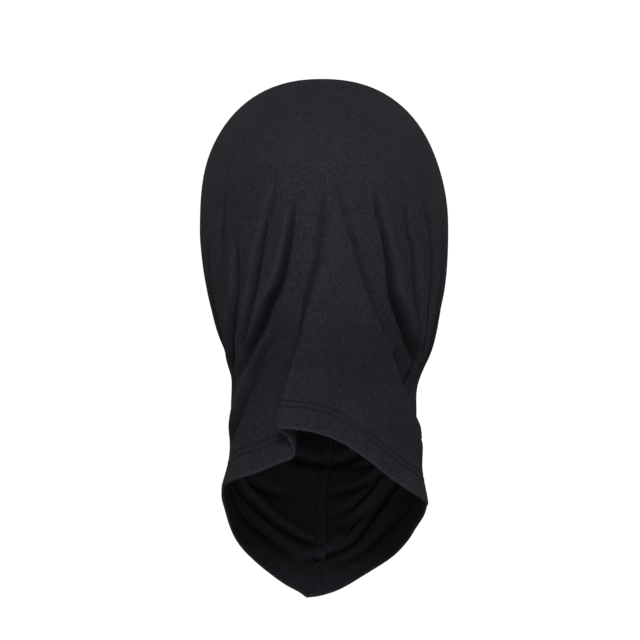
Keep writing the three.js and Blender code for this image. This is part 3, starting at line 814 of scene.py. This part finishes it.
def looper_row(name, place, start, end, stitch, low, high, depth, radius):
    """The thread under a twin-needle row: it swings from one needle row to the other and back, with a small
    loop at each needle, as place(parameter, across, depth)."""
    per = 12
    middle = (low + high) / 2
    count = round(length_of(lambda t: place(t, 0 * t + middle, 0 * t), start, end) / stitch) * per
    at = even_walk(lambda t: place(t, 0 * t + middle, 0 * t), start, end, count)[:-1]
    pace = (end - start) / count
    phase = (np.arange(len(at)) % per) / per
    across_row = middle + (high - low) / 2 * 1.08 * np.sin(2 * np.pi * phase)
    at = at + pace * per * 0.26 * np.sin(4 * np.pi * phase)
    lift = depth - 0.22 * np.cos(4 * np.pi * phase)
    path = place(at, across_row, lift)
    up = place(at, across_row, lift + 1) - place(at, across_row, lift)
    row = tube(name, path, up, radius, sides=5, closed=True)
    print(name, len(at) // per, "stitches")
    return row


# %% The hem's stitches
HEM_STITCH = 2.8


def neck_place(turn, up, depth):
    """A point so far above the hem's edge, at a depth."""
    return laid(turn, hem_height(turn) + up, depth)


hem_rows = [
    needle_row(name, lambda t, d, up=up: neck_place(t, up, 0.34 + d), -np.pi, np.pi, HEM_STITCH, 0.24)
    for name, up in (("hem_stitches_low", HEM_ROW_LOW), ("hem_stitches_high", HEM_ROW_HIGH))]
hem_looper = looper_row("hem_looper", neck_place, -np.pi, np.pi, HEM_STITCH, HEM_ROW_LOW, HEM_ROW_HIGH,
                        HEM_INNER + 0.2, 0.2)
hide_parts("hem_needle_thread_lower_row")
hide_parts("hem_needle_thread_upper_row")
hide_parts("hem_looper_thread")

# %% [markdown]
# ## The bound face edge
# A strip of the same jersey is folded over the raw edge with a flat elastic inside, and two needle rows hold
# all of it. The elastic is shorter than the cloth, so between the rows the strip puckers a little. It is one
# open sheet: a profile that starts at the outer raw edge, goes over the fold and ends at the inner raw edge,
# carried round the opening. Its two ends meet at the chin.

# %% The binding
BINDING_WIDTH = 12.0
BINDING_CLOTH = 0.7
FACE_ROW_FAR = 8.5
FACE_ROW_NEAR = 3.5
BINDING_OUTER = -0.85
BINDING_INNER = 2.5
BINDING_CLEARANCE = 0.05
STATION_STEP = 0.55
fold_turn = np.linspace(0, np.pi, 9)[1:-1]
flat_out = np.array([12, 11.2, 10, 9.2, 8.8, 8.5, 8.2, 7.8, 7, 6, 5, 4.2, 3.8, 3.5, 3.2, 2.8, 2, 1.1, 0.3])
channel = bell(flat_out - FACE_ROW_FAR, 0.42) + bell(flat_out - FACE_ROW_NEAR, 0.42)
fold_middle = (BINDING_OUTER + BINDING_INNER) / 2
fold_radius = (BINDING_INNER - BINDING_OUTER) / 2
profile_out = np.concatenate([flat_out, 0.3 - 1.5 * np.sin(fold_turn), flat_out[::-1]])
profile_depth = np.concatenate([BINDING_OUTER + 0.24 * channel, fold_middle - fold_radius * np.cos(fold_turn),
                                BINDING_INNER - 0.2 * channel[::-1]])
profile_depth[0] += 0.3
profile_depth[-1] -= 0.2
side_sign = np.concatenate([-np.ones(len(flat_out)), -np.cos(fold_turn), np.ones(len(flat_out))])
STATIONS = 620
stations = even_walk(lambda a: face_point(a, 0 * a, 0 * a), -np.pi + 0.0012, np.pi - 0.0012, STATIONS)
station = np.arange(STATIONS + 1)


def pucker(row, out):
    """Height of the gathers: two waves along the strip that don't keep step, none at the needle rows."""
    wave = np.sin(row * 0.86) * (0.6 + 0.4 * np.sin(row * 0.173 + 1)) + 0.5 * np.sin(row * 1.37 + 2)
    between = 1 - np.maximum(bell(out - FACE_ROW_FAR, 1.3), bell(out - FACE_ROW_NEAR, 1.3))
    return 0.17 * wave * between


puckered = profile_depth[None, :] + side_sign[None, :] * pucker(station[:, None], profile_out[None, :])
strip = face_point(stations[:, None] + 0 * puckered, profile_out[None, :] + 0 * puckered, puckered)
strip_points = strip.reshape(-1, 3)
strip_faces = grid_faces(len(stations), len(profile_out))
outer_edge = strip_faces[(strip_faces % len(profile_out)).max(1) < 3]
away_from_head = strip_points[outer_edge[:, 0]] * [1, 1, 0]
if facing(strip_points, outer_edge, away_from_head) is not outer_edge:
    strip_faces = strip_faces[:, ::-1]
profile_walk = np.cumsum(np.hypot(np.diff(profile_out, prepend=BINDING_WIDTH),
                                  np.diff(profile_depth, prepend=BINDING_OUTER)))
strip_uv = np.stack([np.repeat(station * STATION_STEP, len(profile_out)),
                     np.tile(profile_walk, len(stations))], -1)
binding = new_piece("face_binding_strip", strip_points, [strip_faces], uv=strip_uv)
thicken(binding, BINDING_CLOTH - BINDING_CLEARANCE)
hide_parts("face_binding")
STRIP_LENGTH = length_of(lambda a: face_point(a, 0 * a, 0 * a), -np.pi, np.pi)
print("binding strip", round(STRIP_LENGTH), "mm long")

# %% The elastic inside it
ELASTIC_WIDTH = 6.0
TAPE_EDGE = 0.7
TAPE_OUTER = 1.02
TAPE_INNER = 1.58
TAPE_RIBS = 6
RIB_HEIGHT = 0.05
across_tape = np.linspace(0, ELASTIC_WIDTH, 19)
ribs = RIB_HEIGHT * np.cos(across_tape / ELASTIC_WIDTH * 2 * np.pi * TAPE_RIBS)
tape_out = np.concatenate([TAPE_EDGE + across_tape, (TAPE_EDGE + across_tape)[::-1]])
tape_depth = np.concatenate([TAPE_OUTER + ribs, (TAPE_INNER - ribs)[::-1]])
ring_angle = np.linspace(-np.pi, np.pi, 361)[:-1]
tape = face_point(ring_angle[:, None] + 0 * tape_out[None], tape_out[None] + 0 * ring_angle[:, None],
                  tape_depth[None] + 0 * ring_angle[:, None])
tape_points = tape.reshape(-1, 3)
tape_faces = grid_faces(len(ring_angle) + 1, len(tape_out), wrap=True) % len(tape_points)
elastic = new_piece("face_elastic_tape", tape_points, [facing(tape_points, tape_faces)])
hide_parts("face_elastic")

# %% The binding's stitches
FACE_STITCH = 2.6
face_rows = [
    needle_row(name, lambda a, d, out=out: face_point(a, out + 0 * a, BINDING_OUTER + 0.2 + d), -np.pi, np.pi,
               FACE_STITCH, 0.22)
    for name, out in (("face_stitches_near", FACE_ROW_NEAR), ("face_stitches_far", FACE_ROW_FAR))]
face_looper = looper_row("face_looper", face_point, -np.pi, np.pi, FACE_STITCH, FACE_ROW_NEAR, FACE_ROW_FAR,
                         BINDING_INNER + 0.1, 0.19)
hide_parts("face_needle_thread_inner_row")
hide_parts("face_needle_thread_outer_row")
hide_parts("face_looper_thread")

# %% The bar tack at the chin
TACK_LENGTH = 9.0
TACK_WIDTH = 2.0
TACK_FOOT = 10.5  # below the opening's edge
TACK_STROKES = 30
STROKE_STEPS = 6
CHIN_RADIUS = 92.0  # mm of cloth to a radian of turn, at the chin
tack_step = np.arange(TACK_STROKES * STROKE_STEPS + 1)
tack_swing = np.arcsin(np.sin(np.pi * (tack_step / STROKE_STEPS + 0.5))) / (np.pi / 2)
tack_out = TACK_FOOT - TACK_LENGTH * tack_step / tack_step[-1]
tack_turn = np.pi + tack_swing * TACK_WIDTH / 2 / CHIN_RADIUS
tack_z = -(FACE_BOTTOM + tack_out)
tack_lift = BINDING_OUTER - 0.28 + 0.3 * np.abs(tack_swing) ** 6
tack_path = laid(tack_turn, tack_z, tack_lift)
tack_up = laid(tack_turn, tack_z, tack_lift - 1) - tack_path
bartack = tube("chin_tack", tack_path, tack_up, 0.2)
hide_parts("chin_bartack")

# %% [markdown]
# ## The overlocked seams
# Inside, each pair of allowances is overlocked: a thread goes over both raw edges, down one side, and back, a
# stitch at a time, and a straight chain holds the seam close to the cloth. Both follow the allowances as they
# lean.

# %% Overlock and chain
CROWN_SEAM = (-5.0, -59.0)
FRONT_SEAM = (-215.0, -311.0)
OVERLOCK_STITCH = 2.2
OVERLOCK_REACH = 4.0
CHAIN_STITCH = 2.4
ALLOWANCE_HALF = 1.35  # half the thickness of both allowances, and the thread on them


def beside_seam(z, side, depth):
    """A point beside the allowances, leaning with them."""
    side, depth = seam_turned(side, depth, SEAM_LEAN)
    return seam_point(z, side, depth)


def overlock_row(name, span):
    """Thread over the raw edges: from one side's foot to the other's and back, once a stitch."""
    per = 12
    z_walk = lambda z: beside_seam(z, 0 * z, 0 * z + CLOTH + SEAM_ALLOWANCE)
    count = round(length_of(z_walk, *span) / OVERLOCK_STITCH) * per
    z = even_walk(z_walk, *span, count)
    phase = (np.arange(count + 1) % per) / per
    over = np.cos(2 * np.pi * phase)
    side = ALLOWANCE_HALF * np.clip(1.5 * over, -1, 1)
    down = OVERLOCK_REACH * np.clip(np.abs(over) * 1.25 - 0.25, 0, 1) ** 1.5
    depth = CLOTH + SEAM_ALLOWANCE + 0.3 - down
    path = beside_seam(z, side, depth)
    up = np.gradient(beside_seam(z, 0 * z, 0 * z), axis=0)
    row = tube(name, path, up, 0.2, sides=5)
    return row


def chain_row(name, span):
    """The seam's own straight stitches, close to the cloth."""
    place = lambda z, d: beside_seam(z, -ALLOWANCE_HALF - 0.6 * (0.3 - d), 0 * z + CLOTH + 0.9)
    return needle_row(name, place, *span, CHAIN_STITCH, 0.2, closed=False)


crown_overlock = overlock_row("crown_overlock", CROWN_SEAM)
front_overlock = overlock_row("front_overlock", FRONT_SEAM)
crown_chain = chain_row("crown_chain", CROWN_SEAM)
front_chain = chain_row("front_chain", FRONT_SEAM)
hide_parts("crown_seam_overlock")
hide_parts("front_seam_overlock")
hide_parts("crown_seam_needle_thread")
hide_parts("front_seam_needle_thread")

# %% [markdown]
# ## The care label
# A folded loop of plain ribbon is caught in the crown seam. It hangs from there along the inside, on the
# wearer's left, and its free fold curls away from the cloth.

# %% The label
LABEL_LENGTH = 34.0
LABEL_WIDTH = 22.0
LABEL_DROP = 26.0
ribbon = np.linspace(0, 1, 61)
fold_half = np.clip((ribbon - 0.5) * 24, -1, 1)
reach = LABEL_LENGTH * (1 - np.abs(2 * ribbon - 1) ** 1.02)
ribbon_depth = 1.7 + 0.4 * (1 + fold_half) + 2.6 * (reach / LABEL_LENGTH) ** 2.2
ribbon_wide = 2.0 + reach
fall = np.linspace(0, LABEL_WIDTH / math.sqrt(2), 13)
label_z = -LABEL_DROP - fall[None, :] + 0 * reach[:, None]
label_turn = np.pi - turn_over(ribbon_wide[:, None] + 0 * label_z, label_z)
label_depth = ribbon_depth[:, None] + 0.35 * np.sin(fall[None, :] / 5 + 3 * ribbon[:, None])
label_points = laid(label_turn, label_z, label_depth).reshape(-1, 3)
label_uv = np.stack([np.repeat(ribbon * 2 * LABEL_LENGTH, len(fall)),
                     np.tile(fall * math.sqrt(2), len(ribbon))], -1)
label = new_piece("care_label_ribbon", label_points, [grid_faces(len(ribbon), len(fall))], uv=label_uv)
thicken(label, 0.25).offset = 0
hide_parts("care_label")

# %% [markdown]
# ## Materials
# Black jersey is not one flat black. Its yarn mixes lighter and darker fibres, its face is a field of tiny V
# shaped loops, a little lint stays on it, and its folded hem edge rubs pale; the hood also carries painted
# shade and painted highlight on its folds. The yarn, the knit and the lint are each used by more than one
# material, so each is a node group with named inputs. The shader itself, with its sheen, stays in every
# material.


# %% Node helpers
def feed(tree, node, **inputs):
    """Gives a node its inputs, by name or as _0, _1 and so on: a value is set, a socket is linked."""
    for name, value in inputs.items():
        socket = node.inputs[int(name[1:])] if name[1:].isdigit() else node.inputs[name.replace("_", " ")]
        if isinstance(value, bpy.types.NodeSocket):
            tree.links.new(value, socket)
        else:
            socket.default_value = value
    return node


def put(tree, kind, settings=None, **inputs):
    """A new node, with its settings and its inputs."""
    made = tree.nodes.new(kind)
    for name, value in (settings or {}).items():
        setattr(made, name, value)
    return feed(tree, made, **inputs)


def new_material(name):
    """A material, its node tree and its shader."""
    made = bpy.data.materials.new(name)
    made.use_nodes = True
    return made, made.node_tree, made.node_tree.nodes["Principled BSDF"]


def math_node(tree, operation, first, second=0.0, third=0.0):
    """The outcome of one arithmetic node."""
    return put(tree, "ShaderNodeMath", {"operation": operation}, _0=first, _1=second, _2=third).outputs[0]


def times(tree, first, second):
    """The first times the second."""
    return math_node(tree, "MULTIPLY", first, second)


def times_plus(tree, first, second, third):
    """The first times the second, plus the third."""
    return math_node(tree, "MULTIPLY_ADD", first, second, third)


def smooth_mask(tree, value, low, high):
    """0 at low, 1 at high, smooth between."""
    made = put(tree, "ShaderNodeMapRange", {"interpolation_type": "SMOOTHSTEP"}, Value=value, From_Min=low,
               From_Max=high)
    return made.outputs["Result"]


def group_of(name, inputs, outputs):
    """An empty node group with named sockets: each input is (name, kind, value)."""
    tree = bpy.data.node_groups.new(name, "ShaderNodeTree")
    for title, kind, value in inputs:
        socket = tree.interface.new_socket(title, in_out="INPUT", socket_type="NodeSocket" + kind)
        if value is not None:
            socket.default_value = value
    for title, kind in outputs:
        tree.interface.new_socket(title, in_out="OUTPUT", socket_type="NodeSocket" + kind)
    return tree, tree.nodes.new("NodeGroupInput"), tree.nodes.new("NodeGroupOutput")


# %% [markdown]
# ### The knit
# On the face of jersey every loop shows as a small V, and the Vs stand in columns called wales. Across a wale
# the distance from its middle bends the rows into Vs; on the back of the cloth the same loops show as short
# arcs that line up in rows. One group gives both: its Bend input bends the rows more or less.

# %% Knit group
knit, knit_in, knit_out = group_of(
    "jersey_knit", [("Vector", "Vector", None), ("Wale", "Float", 0.8), ("Course", "Float", 0.6),
                    ("Bend", "Float", 0.5)], [("Height", "Float"), ("Gap", "Float")])
split = put(knit, "ShaderNodeSeparateXYZ", Vector=knit_in.outputs["Vector"])
wale = math_node(knit, "FRACT", math_node(knit, "DIVIDE", split.outputs[0], knit_in.outputs["Wale"]))
off_middle = times(knit, math_node(knit, "ABSOLUTE", math_node(knit, "SUBTRACT", wale, 0.5)), 2.0)
course = math_node(knit, "DIVIDE", split.outputs[1], knit_in.outputs["Course"])
bent = times_plus(knit, off_middle, knit_in.outputs["Bend"], course)
rung = math_node(knit, "SINE", times(knit, bent, 2 * math.pi))
leg = math_node(knit, "SUBTRACT", 1.0, math_node(knit, "POWER", off_middle, 3.0))
loop_height = times(knit, leg, times_plus(knit, rung, 0.3, 0.7))
knit.links.new(loop_height, knit_out.inputs["Height"])
# Gap marks where the materials paint shade between the loops.
knit.links.new(smooth_mask(knit, loop_height, 0.5, 0.1), knit_out.inputs["Gap"])

# %% Heather group
heather, heather_in, heather_out = group_of(
    "heathered_yarn", [("Vector", "Vector", None), ("Fleck Scale", "Float", 1050.0),
                       ("Cloud Scale", "Float", 60.0)],
    [("Fleck", "Float"), ("Cloud", "Float"), ("Fuzz", "Float")])
stretch = put(heather, "ShaderNodeMapping", Vector=heather_in.outputs["Vector"], Scale=(1.0, 1.0, 0.62))
fleck = put(heather, "ShaderNodeTexNoise", Vector=stretch.outputs[0], Scale=heather_in.outputs["Fleck Scale"],
            Detail=3.0, Roughness=0.65)
cloud = put(heather, "ShaderNodeTexNoise", Vector=heather_in.outputs["Vector"],
            Scale=heather_in.outputs["Cloud Scale"], Detail=4.0, Roughness=0.6)
fuzz = put(heather, "ShaderNodeTexNoise", Vector=heather_in.outputs["Vector"], Scale=2600.0, Detail=2.0)
heather.links.new(smooth_mask(heather, fleck.outputs["Fac"], 0.36, 0.68), heather_out.inputs["Fleck"])
heather.links.new(smooth_mask(heather, cloud.outputs["Fac"], 0.3, 0.7), heather_out.inputs["Cloud"])
heather.links.new(fuzz.outputs["Fac"], heather_out.inputs["Fuzz"])

# %% Lint group
lint, lint_in, lint_out = group_of("lint", [("Vector", "Vector", None), ("Amount", "Float", 0.3)],
                                   [("Mask", "Float")])
wander = put(lint, "ShaderNodeTexNoise", Vector=lint_in.outputs["Vector"], Scale=500.0, Detail=2.0)
pushed = put(lint, "ShaderNodeVectorMath", {"operation": "MULTIPLY_ADD"}, _0=wander.outputs["Color"],
             _1=(0.0022, 0.0022, 0.0022), _2=lint_in.outputs["Vector"])
specks = put(lint, "ShaderNodeTexVoronoi", {"feature": "F1"}, Vector=pushed.outputs[0], Scale=210.0)
near = smooth_mask(lint, specks.outputs["Distance"], 0.11, 0.04)
draw = put(lint, "ShaderNodeSeparateColor", Color=specks.outputs["Color"])
chosen = math_node(lint, "LESS_THAN", draw.outputs[0], lint_in.outputs["Amount"])
lint.links.new(times(lint, near, chosen), lint_out.inputs["Mask"])

# %% [markdown]
# ### Jersey
# The yarn's two tones are mixed by the flecks and, more gently, by wide clouds. The knit paints shade into
# the gaps between loops, and the bump adds the loops and the fuzz. Two values stored with each point of the
# hood are read here. One is pale wear at the hem's folded edge plus a painted highlight along the panel's
# lapped edge.
# The other is painted shade in the folds' valleys and the turn-up and painted highlight on their crests,
# because soft light alone leaves black cloth flat.


# %% Jersey materials
def tone_mix(tree, factor, first, second):
    """A mix of two colours, each of them a socket or three numbers."""
    first, second = [v if isinstance(v, bpy.types.NodeSocket) else (*v, 1.0) for v in (first, second)]
    made = put(tree, "ShaderNodeMix", {"data_type": "RGBA", "clamp_factor": True}, _0=factor, _6=first,
               _7=second)
    return made.outputs[2]


def jersey_material(name, dark, light, wale, course, bend, loops, sheen, lint_amount=0.2, rub_and_highlight=0.0):
    """A jersey: two yarn tones, knit, lint, fuzz and a soft sheen."""
    made, tree, shader = new_material(name)
    place = put(tree, "ShaderNodeTexCoord").outputs["Object"]
    cloth = put(tree, "ShaderNodeUVMap", {"uv_map": "cloth"}).outputs["UV"]
    yarn = put(tree, "ShaderNodeGroup", {"node_tree": heather}, Vector=place).outputs
    loop = put(tree, "ShaderNodeGroup", {"node_tree": knit}, Vector=cloth, Wale=wale, Course=course,
               Bend=bend).outputs
    dust = put(tree, "ShaderNodeGroup", {"node_tree": lint}, Vector=place, Amount=lint_amount).outputs
    blend = times_plus(tree, yarn["Cloud"], 0.2, times(tree, yarn["Fleck"], 0.8))
    color = tone_mix(tree, blend, dark, light)
    # Painted shade in the gaps between the knit's loops.
    color = tone_mix(tree, times(tree, loop["Gap"], 0.35), color, [v * 0.45 for v in dark])
    color = tone_mix(tree, times(tree, dust["Mask"], 0.35), color, (0.11, 0.11, 0.115))
    if rub_and_highlight:
        # The rub value: pale wear at the hem's folded edge, and a painted highlight along the panel's lapped
        # edge.
        worn = put(tree, "ShaderNodeAttribute", {"attribute_name": "rub_and_highlight"}).outputs["Fac"]
        worn = times(tree, worn, times_plus(tree, yarn["Fleck"], 0.7, 0.3))
        color = tone_mix(tree, times(tree, worn, rub_and_highlight), color, [v * 2.4 for v in light])
        # Painted shade towards a darker tone in the fold valleys and the turn-up, painted highlight towards a
        # lighter tone on the fold crests.
        fold = put(tree, "ShaderNodeAttribute", {"attribute_name": "fold"}).outputs["Fac"]
        color = tone_mix(tree, times(tree, fold, -0.8), color, [v * 0.25 for v in dark])
        color = tone_mix(tree, times(tree, fold, 0.3), color, [v * 1.5 for v in light])
    rough = times_plus(tree, yarn["Fleck"], -0.1, 0.96)
    grain = times_plus(tree, yarn["Fuzz"], 0.55, times(tree, loop["Height"], loops))
    grain = times_plus(tree, yarn["Fleck"], 0.5, grain)
    bump = put(tree, "ShaderNodeBump", Strength=0.6, Distance=0.00022, Height=grain)
    feed(tree, shader, Base_Color=color, Roughness=rough, Specular_IOR_Level=0.12, Sheen_Weight=sheen,
         Sheen_Roughness=0.45, Sheen_Tint=(0.75, 0.78, 0.86, 1), Normal=bump.outputs[0])
    return made


jersey_face = jersey_material("jersey_face", (0.0142, 0.0136, 0.0178), (0.0322, 0.0310, 0.0394),
                              0.8, 0.62, 0.5,
                              1.0, 0.01, rub_and_highlight=0.45)
jersey_back = jersey_material("jersey_back", (0.0136, 0.0130, 0.0172), (0.0262, 0.0252, 0.0322),
                              0.8, 0.42, 0.22,
                              1.2, 0.0, rub_and_highlight=0.3)
binding_face = jersey_material("binding_face", (0.0116, 0.0112, 0.0144), (0.0246, 0.0238, 0.0298),
                               0.75, 0.6, 0.5,
                               1.0, 0.01)


# %% Thread, tape and ribbon
def yarn_material(name, color, sheen, scale, roughness):
    """Twisted thread or tape: fine bands that run slantwise, with painted highlight on their crowns and
    painted shade between them.
    """
    made, tree, shader = new_material(name)
    place = put(tree, "ShaderNodeTexCoord").outputs["Object"]
    turned = put(tree, "ShaderNodeMapping", Vector=place, Rotation=(0.5, 0.7, 0.4)).outputs[0]
    ply = put(tree, "ShaderNodeTexWave", Vector=turned, Scale=scale, Distortion=1.5, Detail=1.0)
    yarn = put(tree, "ShaderNodeGroup", {"node_tree": heather}, Vector=place, Fleck_Scale=1400.0).outputs
    # Painted highlight on the plies' crowns and painted shade between them, mixed with the yarn's flecks.
    lit = times_plus(tree, yarn["Fleck"], 0.5, times(tree, ply.outputs["Fac"], 0.5))
    bands = tone_mix(tree, lit, [v * 0.6 for v in color], [v * 1.5 for v in color])
    rough = times_plus(tree, yarn["Fleck"], 0.12, roughness)
    bump = put(tree, "ShaderNodeBump", Strength=0.5, Distance=0.0001, Height=ply.outputs["Fac"])
    feed(tree, shader, Base_Color=bands, Roughness=rough, Sheen_Weight=sheen, Specular_IOR_Level=0.15,
         Normal=bump.outputs[0])
    return made


thread_black = yarn_material("thread_black", (0.0100, 0.0100, 0.0118), 0.0, 900.0, 0.8)
tape_black = yarn_material("tape_black", (0.0120, 0.0120, 0.0130), 0.0, 420.0, 0.75)
ribbon_grey = yarn_material("ribbon_grey", (0.0500, 0.0500, 0.0550), 0.1, 700.0, 0.4)

hood_piece.data.materials.append(jersey_face)
hood_piece.data.materials.append(jersey_back)
hood_piece.modifiers["wall"].material_offset = 1
binding.data.materials.append(binding_face)
elastic.data.materials.append(tape_black)
label.data.materials.append(ribbon_grey)
for row in (*hem_rows, hem_looper, *face_rows, face_looper, bartack, crown_overlock, front_overlock,
            crown_chain,
            front_chain):
    row.data.materials.append(thread_black)
print("materials:", len(bpy.data.materials), "groups:", len(bpy.data.node_groups))

# %% [markdown]
# ## The studio
# The hood is worn on nothing, so it hangs above a plain pale floor. A small key hangs high on the viewer's
# side. A wider light stands low on the same side, below the level of the floor, and lifts the cloth only a
# little. The sky is bright only where the lens sees it, and dim for the cloth. The floor is left out of
# bounced light, because it would light the cloth from below and flatten the folds. Two weak lights on the
# far side draw the pale line round black cloth.

# %% Floor and light
FLOOR_DROP = 0.62
FLOOR_RADIUS = 9
FLOOR_SIDES = 96
SKY_SEEN = 0.85
SKY_LIGHT = 0.21
floor_mesh = bpy.data.meshes.new("floor")
ring = np.linspace(0, 2 * np.pi, FLOOR_SIDES, endpoint=False)
floor_points = np.stack([FLOOR_RADIUS * np.cos(ring), FLOOR_RADIUS * np.sin(ring), 0 * ring - FLOOR_DROP], -1)
floor_mesh.from_pydata(floor_points.tolist(), [], [list(range(FLOOR_SIDES))])
floor = add_object("floor", floor_mesh)
floor.visible_diffuse = False
floor.visible_glossy = False
pale, pale_tree, pale_shader = new_material("pale_floor")
feed(pale_tree, pale_shader, Base_Color=(0.85, 0.85, 0.85, 1), Roughness=0.9, Emission_Color=(1, 1, 1, 1),
     Emission_Strength=0.85)
floor_mesh.materials.append(pale)

sky = bpy.data.worlds.new("studio")
bpy.context.scene.world = sky
sky.use_nodes = True
sky_tree = sky.node_tree
seen = put(sky_tree, "ShaderNodeLightPath").outputs["Is Camera Ray"]
feed(sky_tree, sky_tree.nodes["Background"], Color=(1, 1, 1, 1),
     Strength=times_plus(sky_tree, seen, SKY_SEEN, SKY_LIGHT))


def soft_light(name, place, aim, size, power):
    """A square area light at a place, turned to face a point."""
    data = bpy.data.lights.new(name, "AREA")
    data.size = size
    data.energy = power
    lamp = add_object(name, data)
    lamp.location = place
    lamp.rotation_euler = (Vector(aim) - Vector(place)).to_track_quat("-Z", "Y").to_euler()
    return lamp


soft_light("key", (0.0, 1.65, 0.78), (0, 0, -0.15), 0.5, 23)
soft_light("front", (-0.15, 2.2, -0.85), (0, 0, -0.2), 0.7, 47)
soft_light("left_rim", (1.5, -1.2, 0.5), (0, 0, -0.15), 0.8, 4)
soft_light("right_rim", (-1.5, -1.2, 0.5), (0, 0, -0.15), 0.8, 4)
bpy.context.scene.view_settings.view_transform = "Standard"
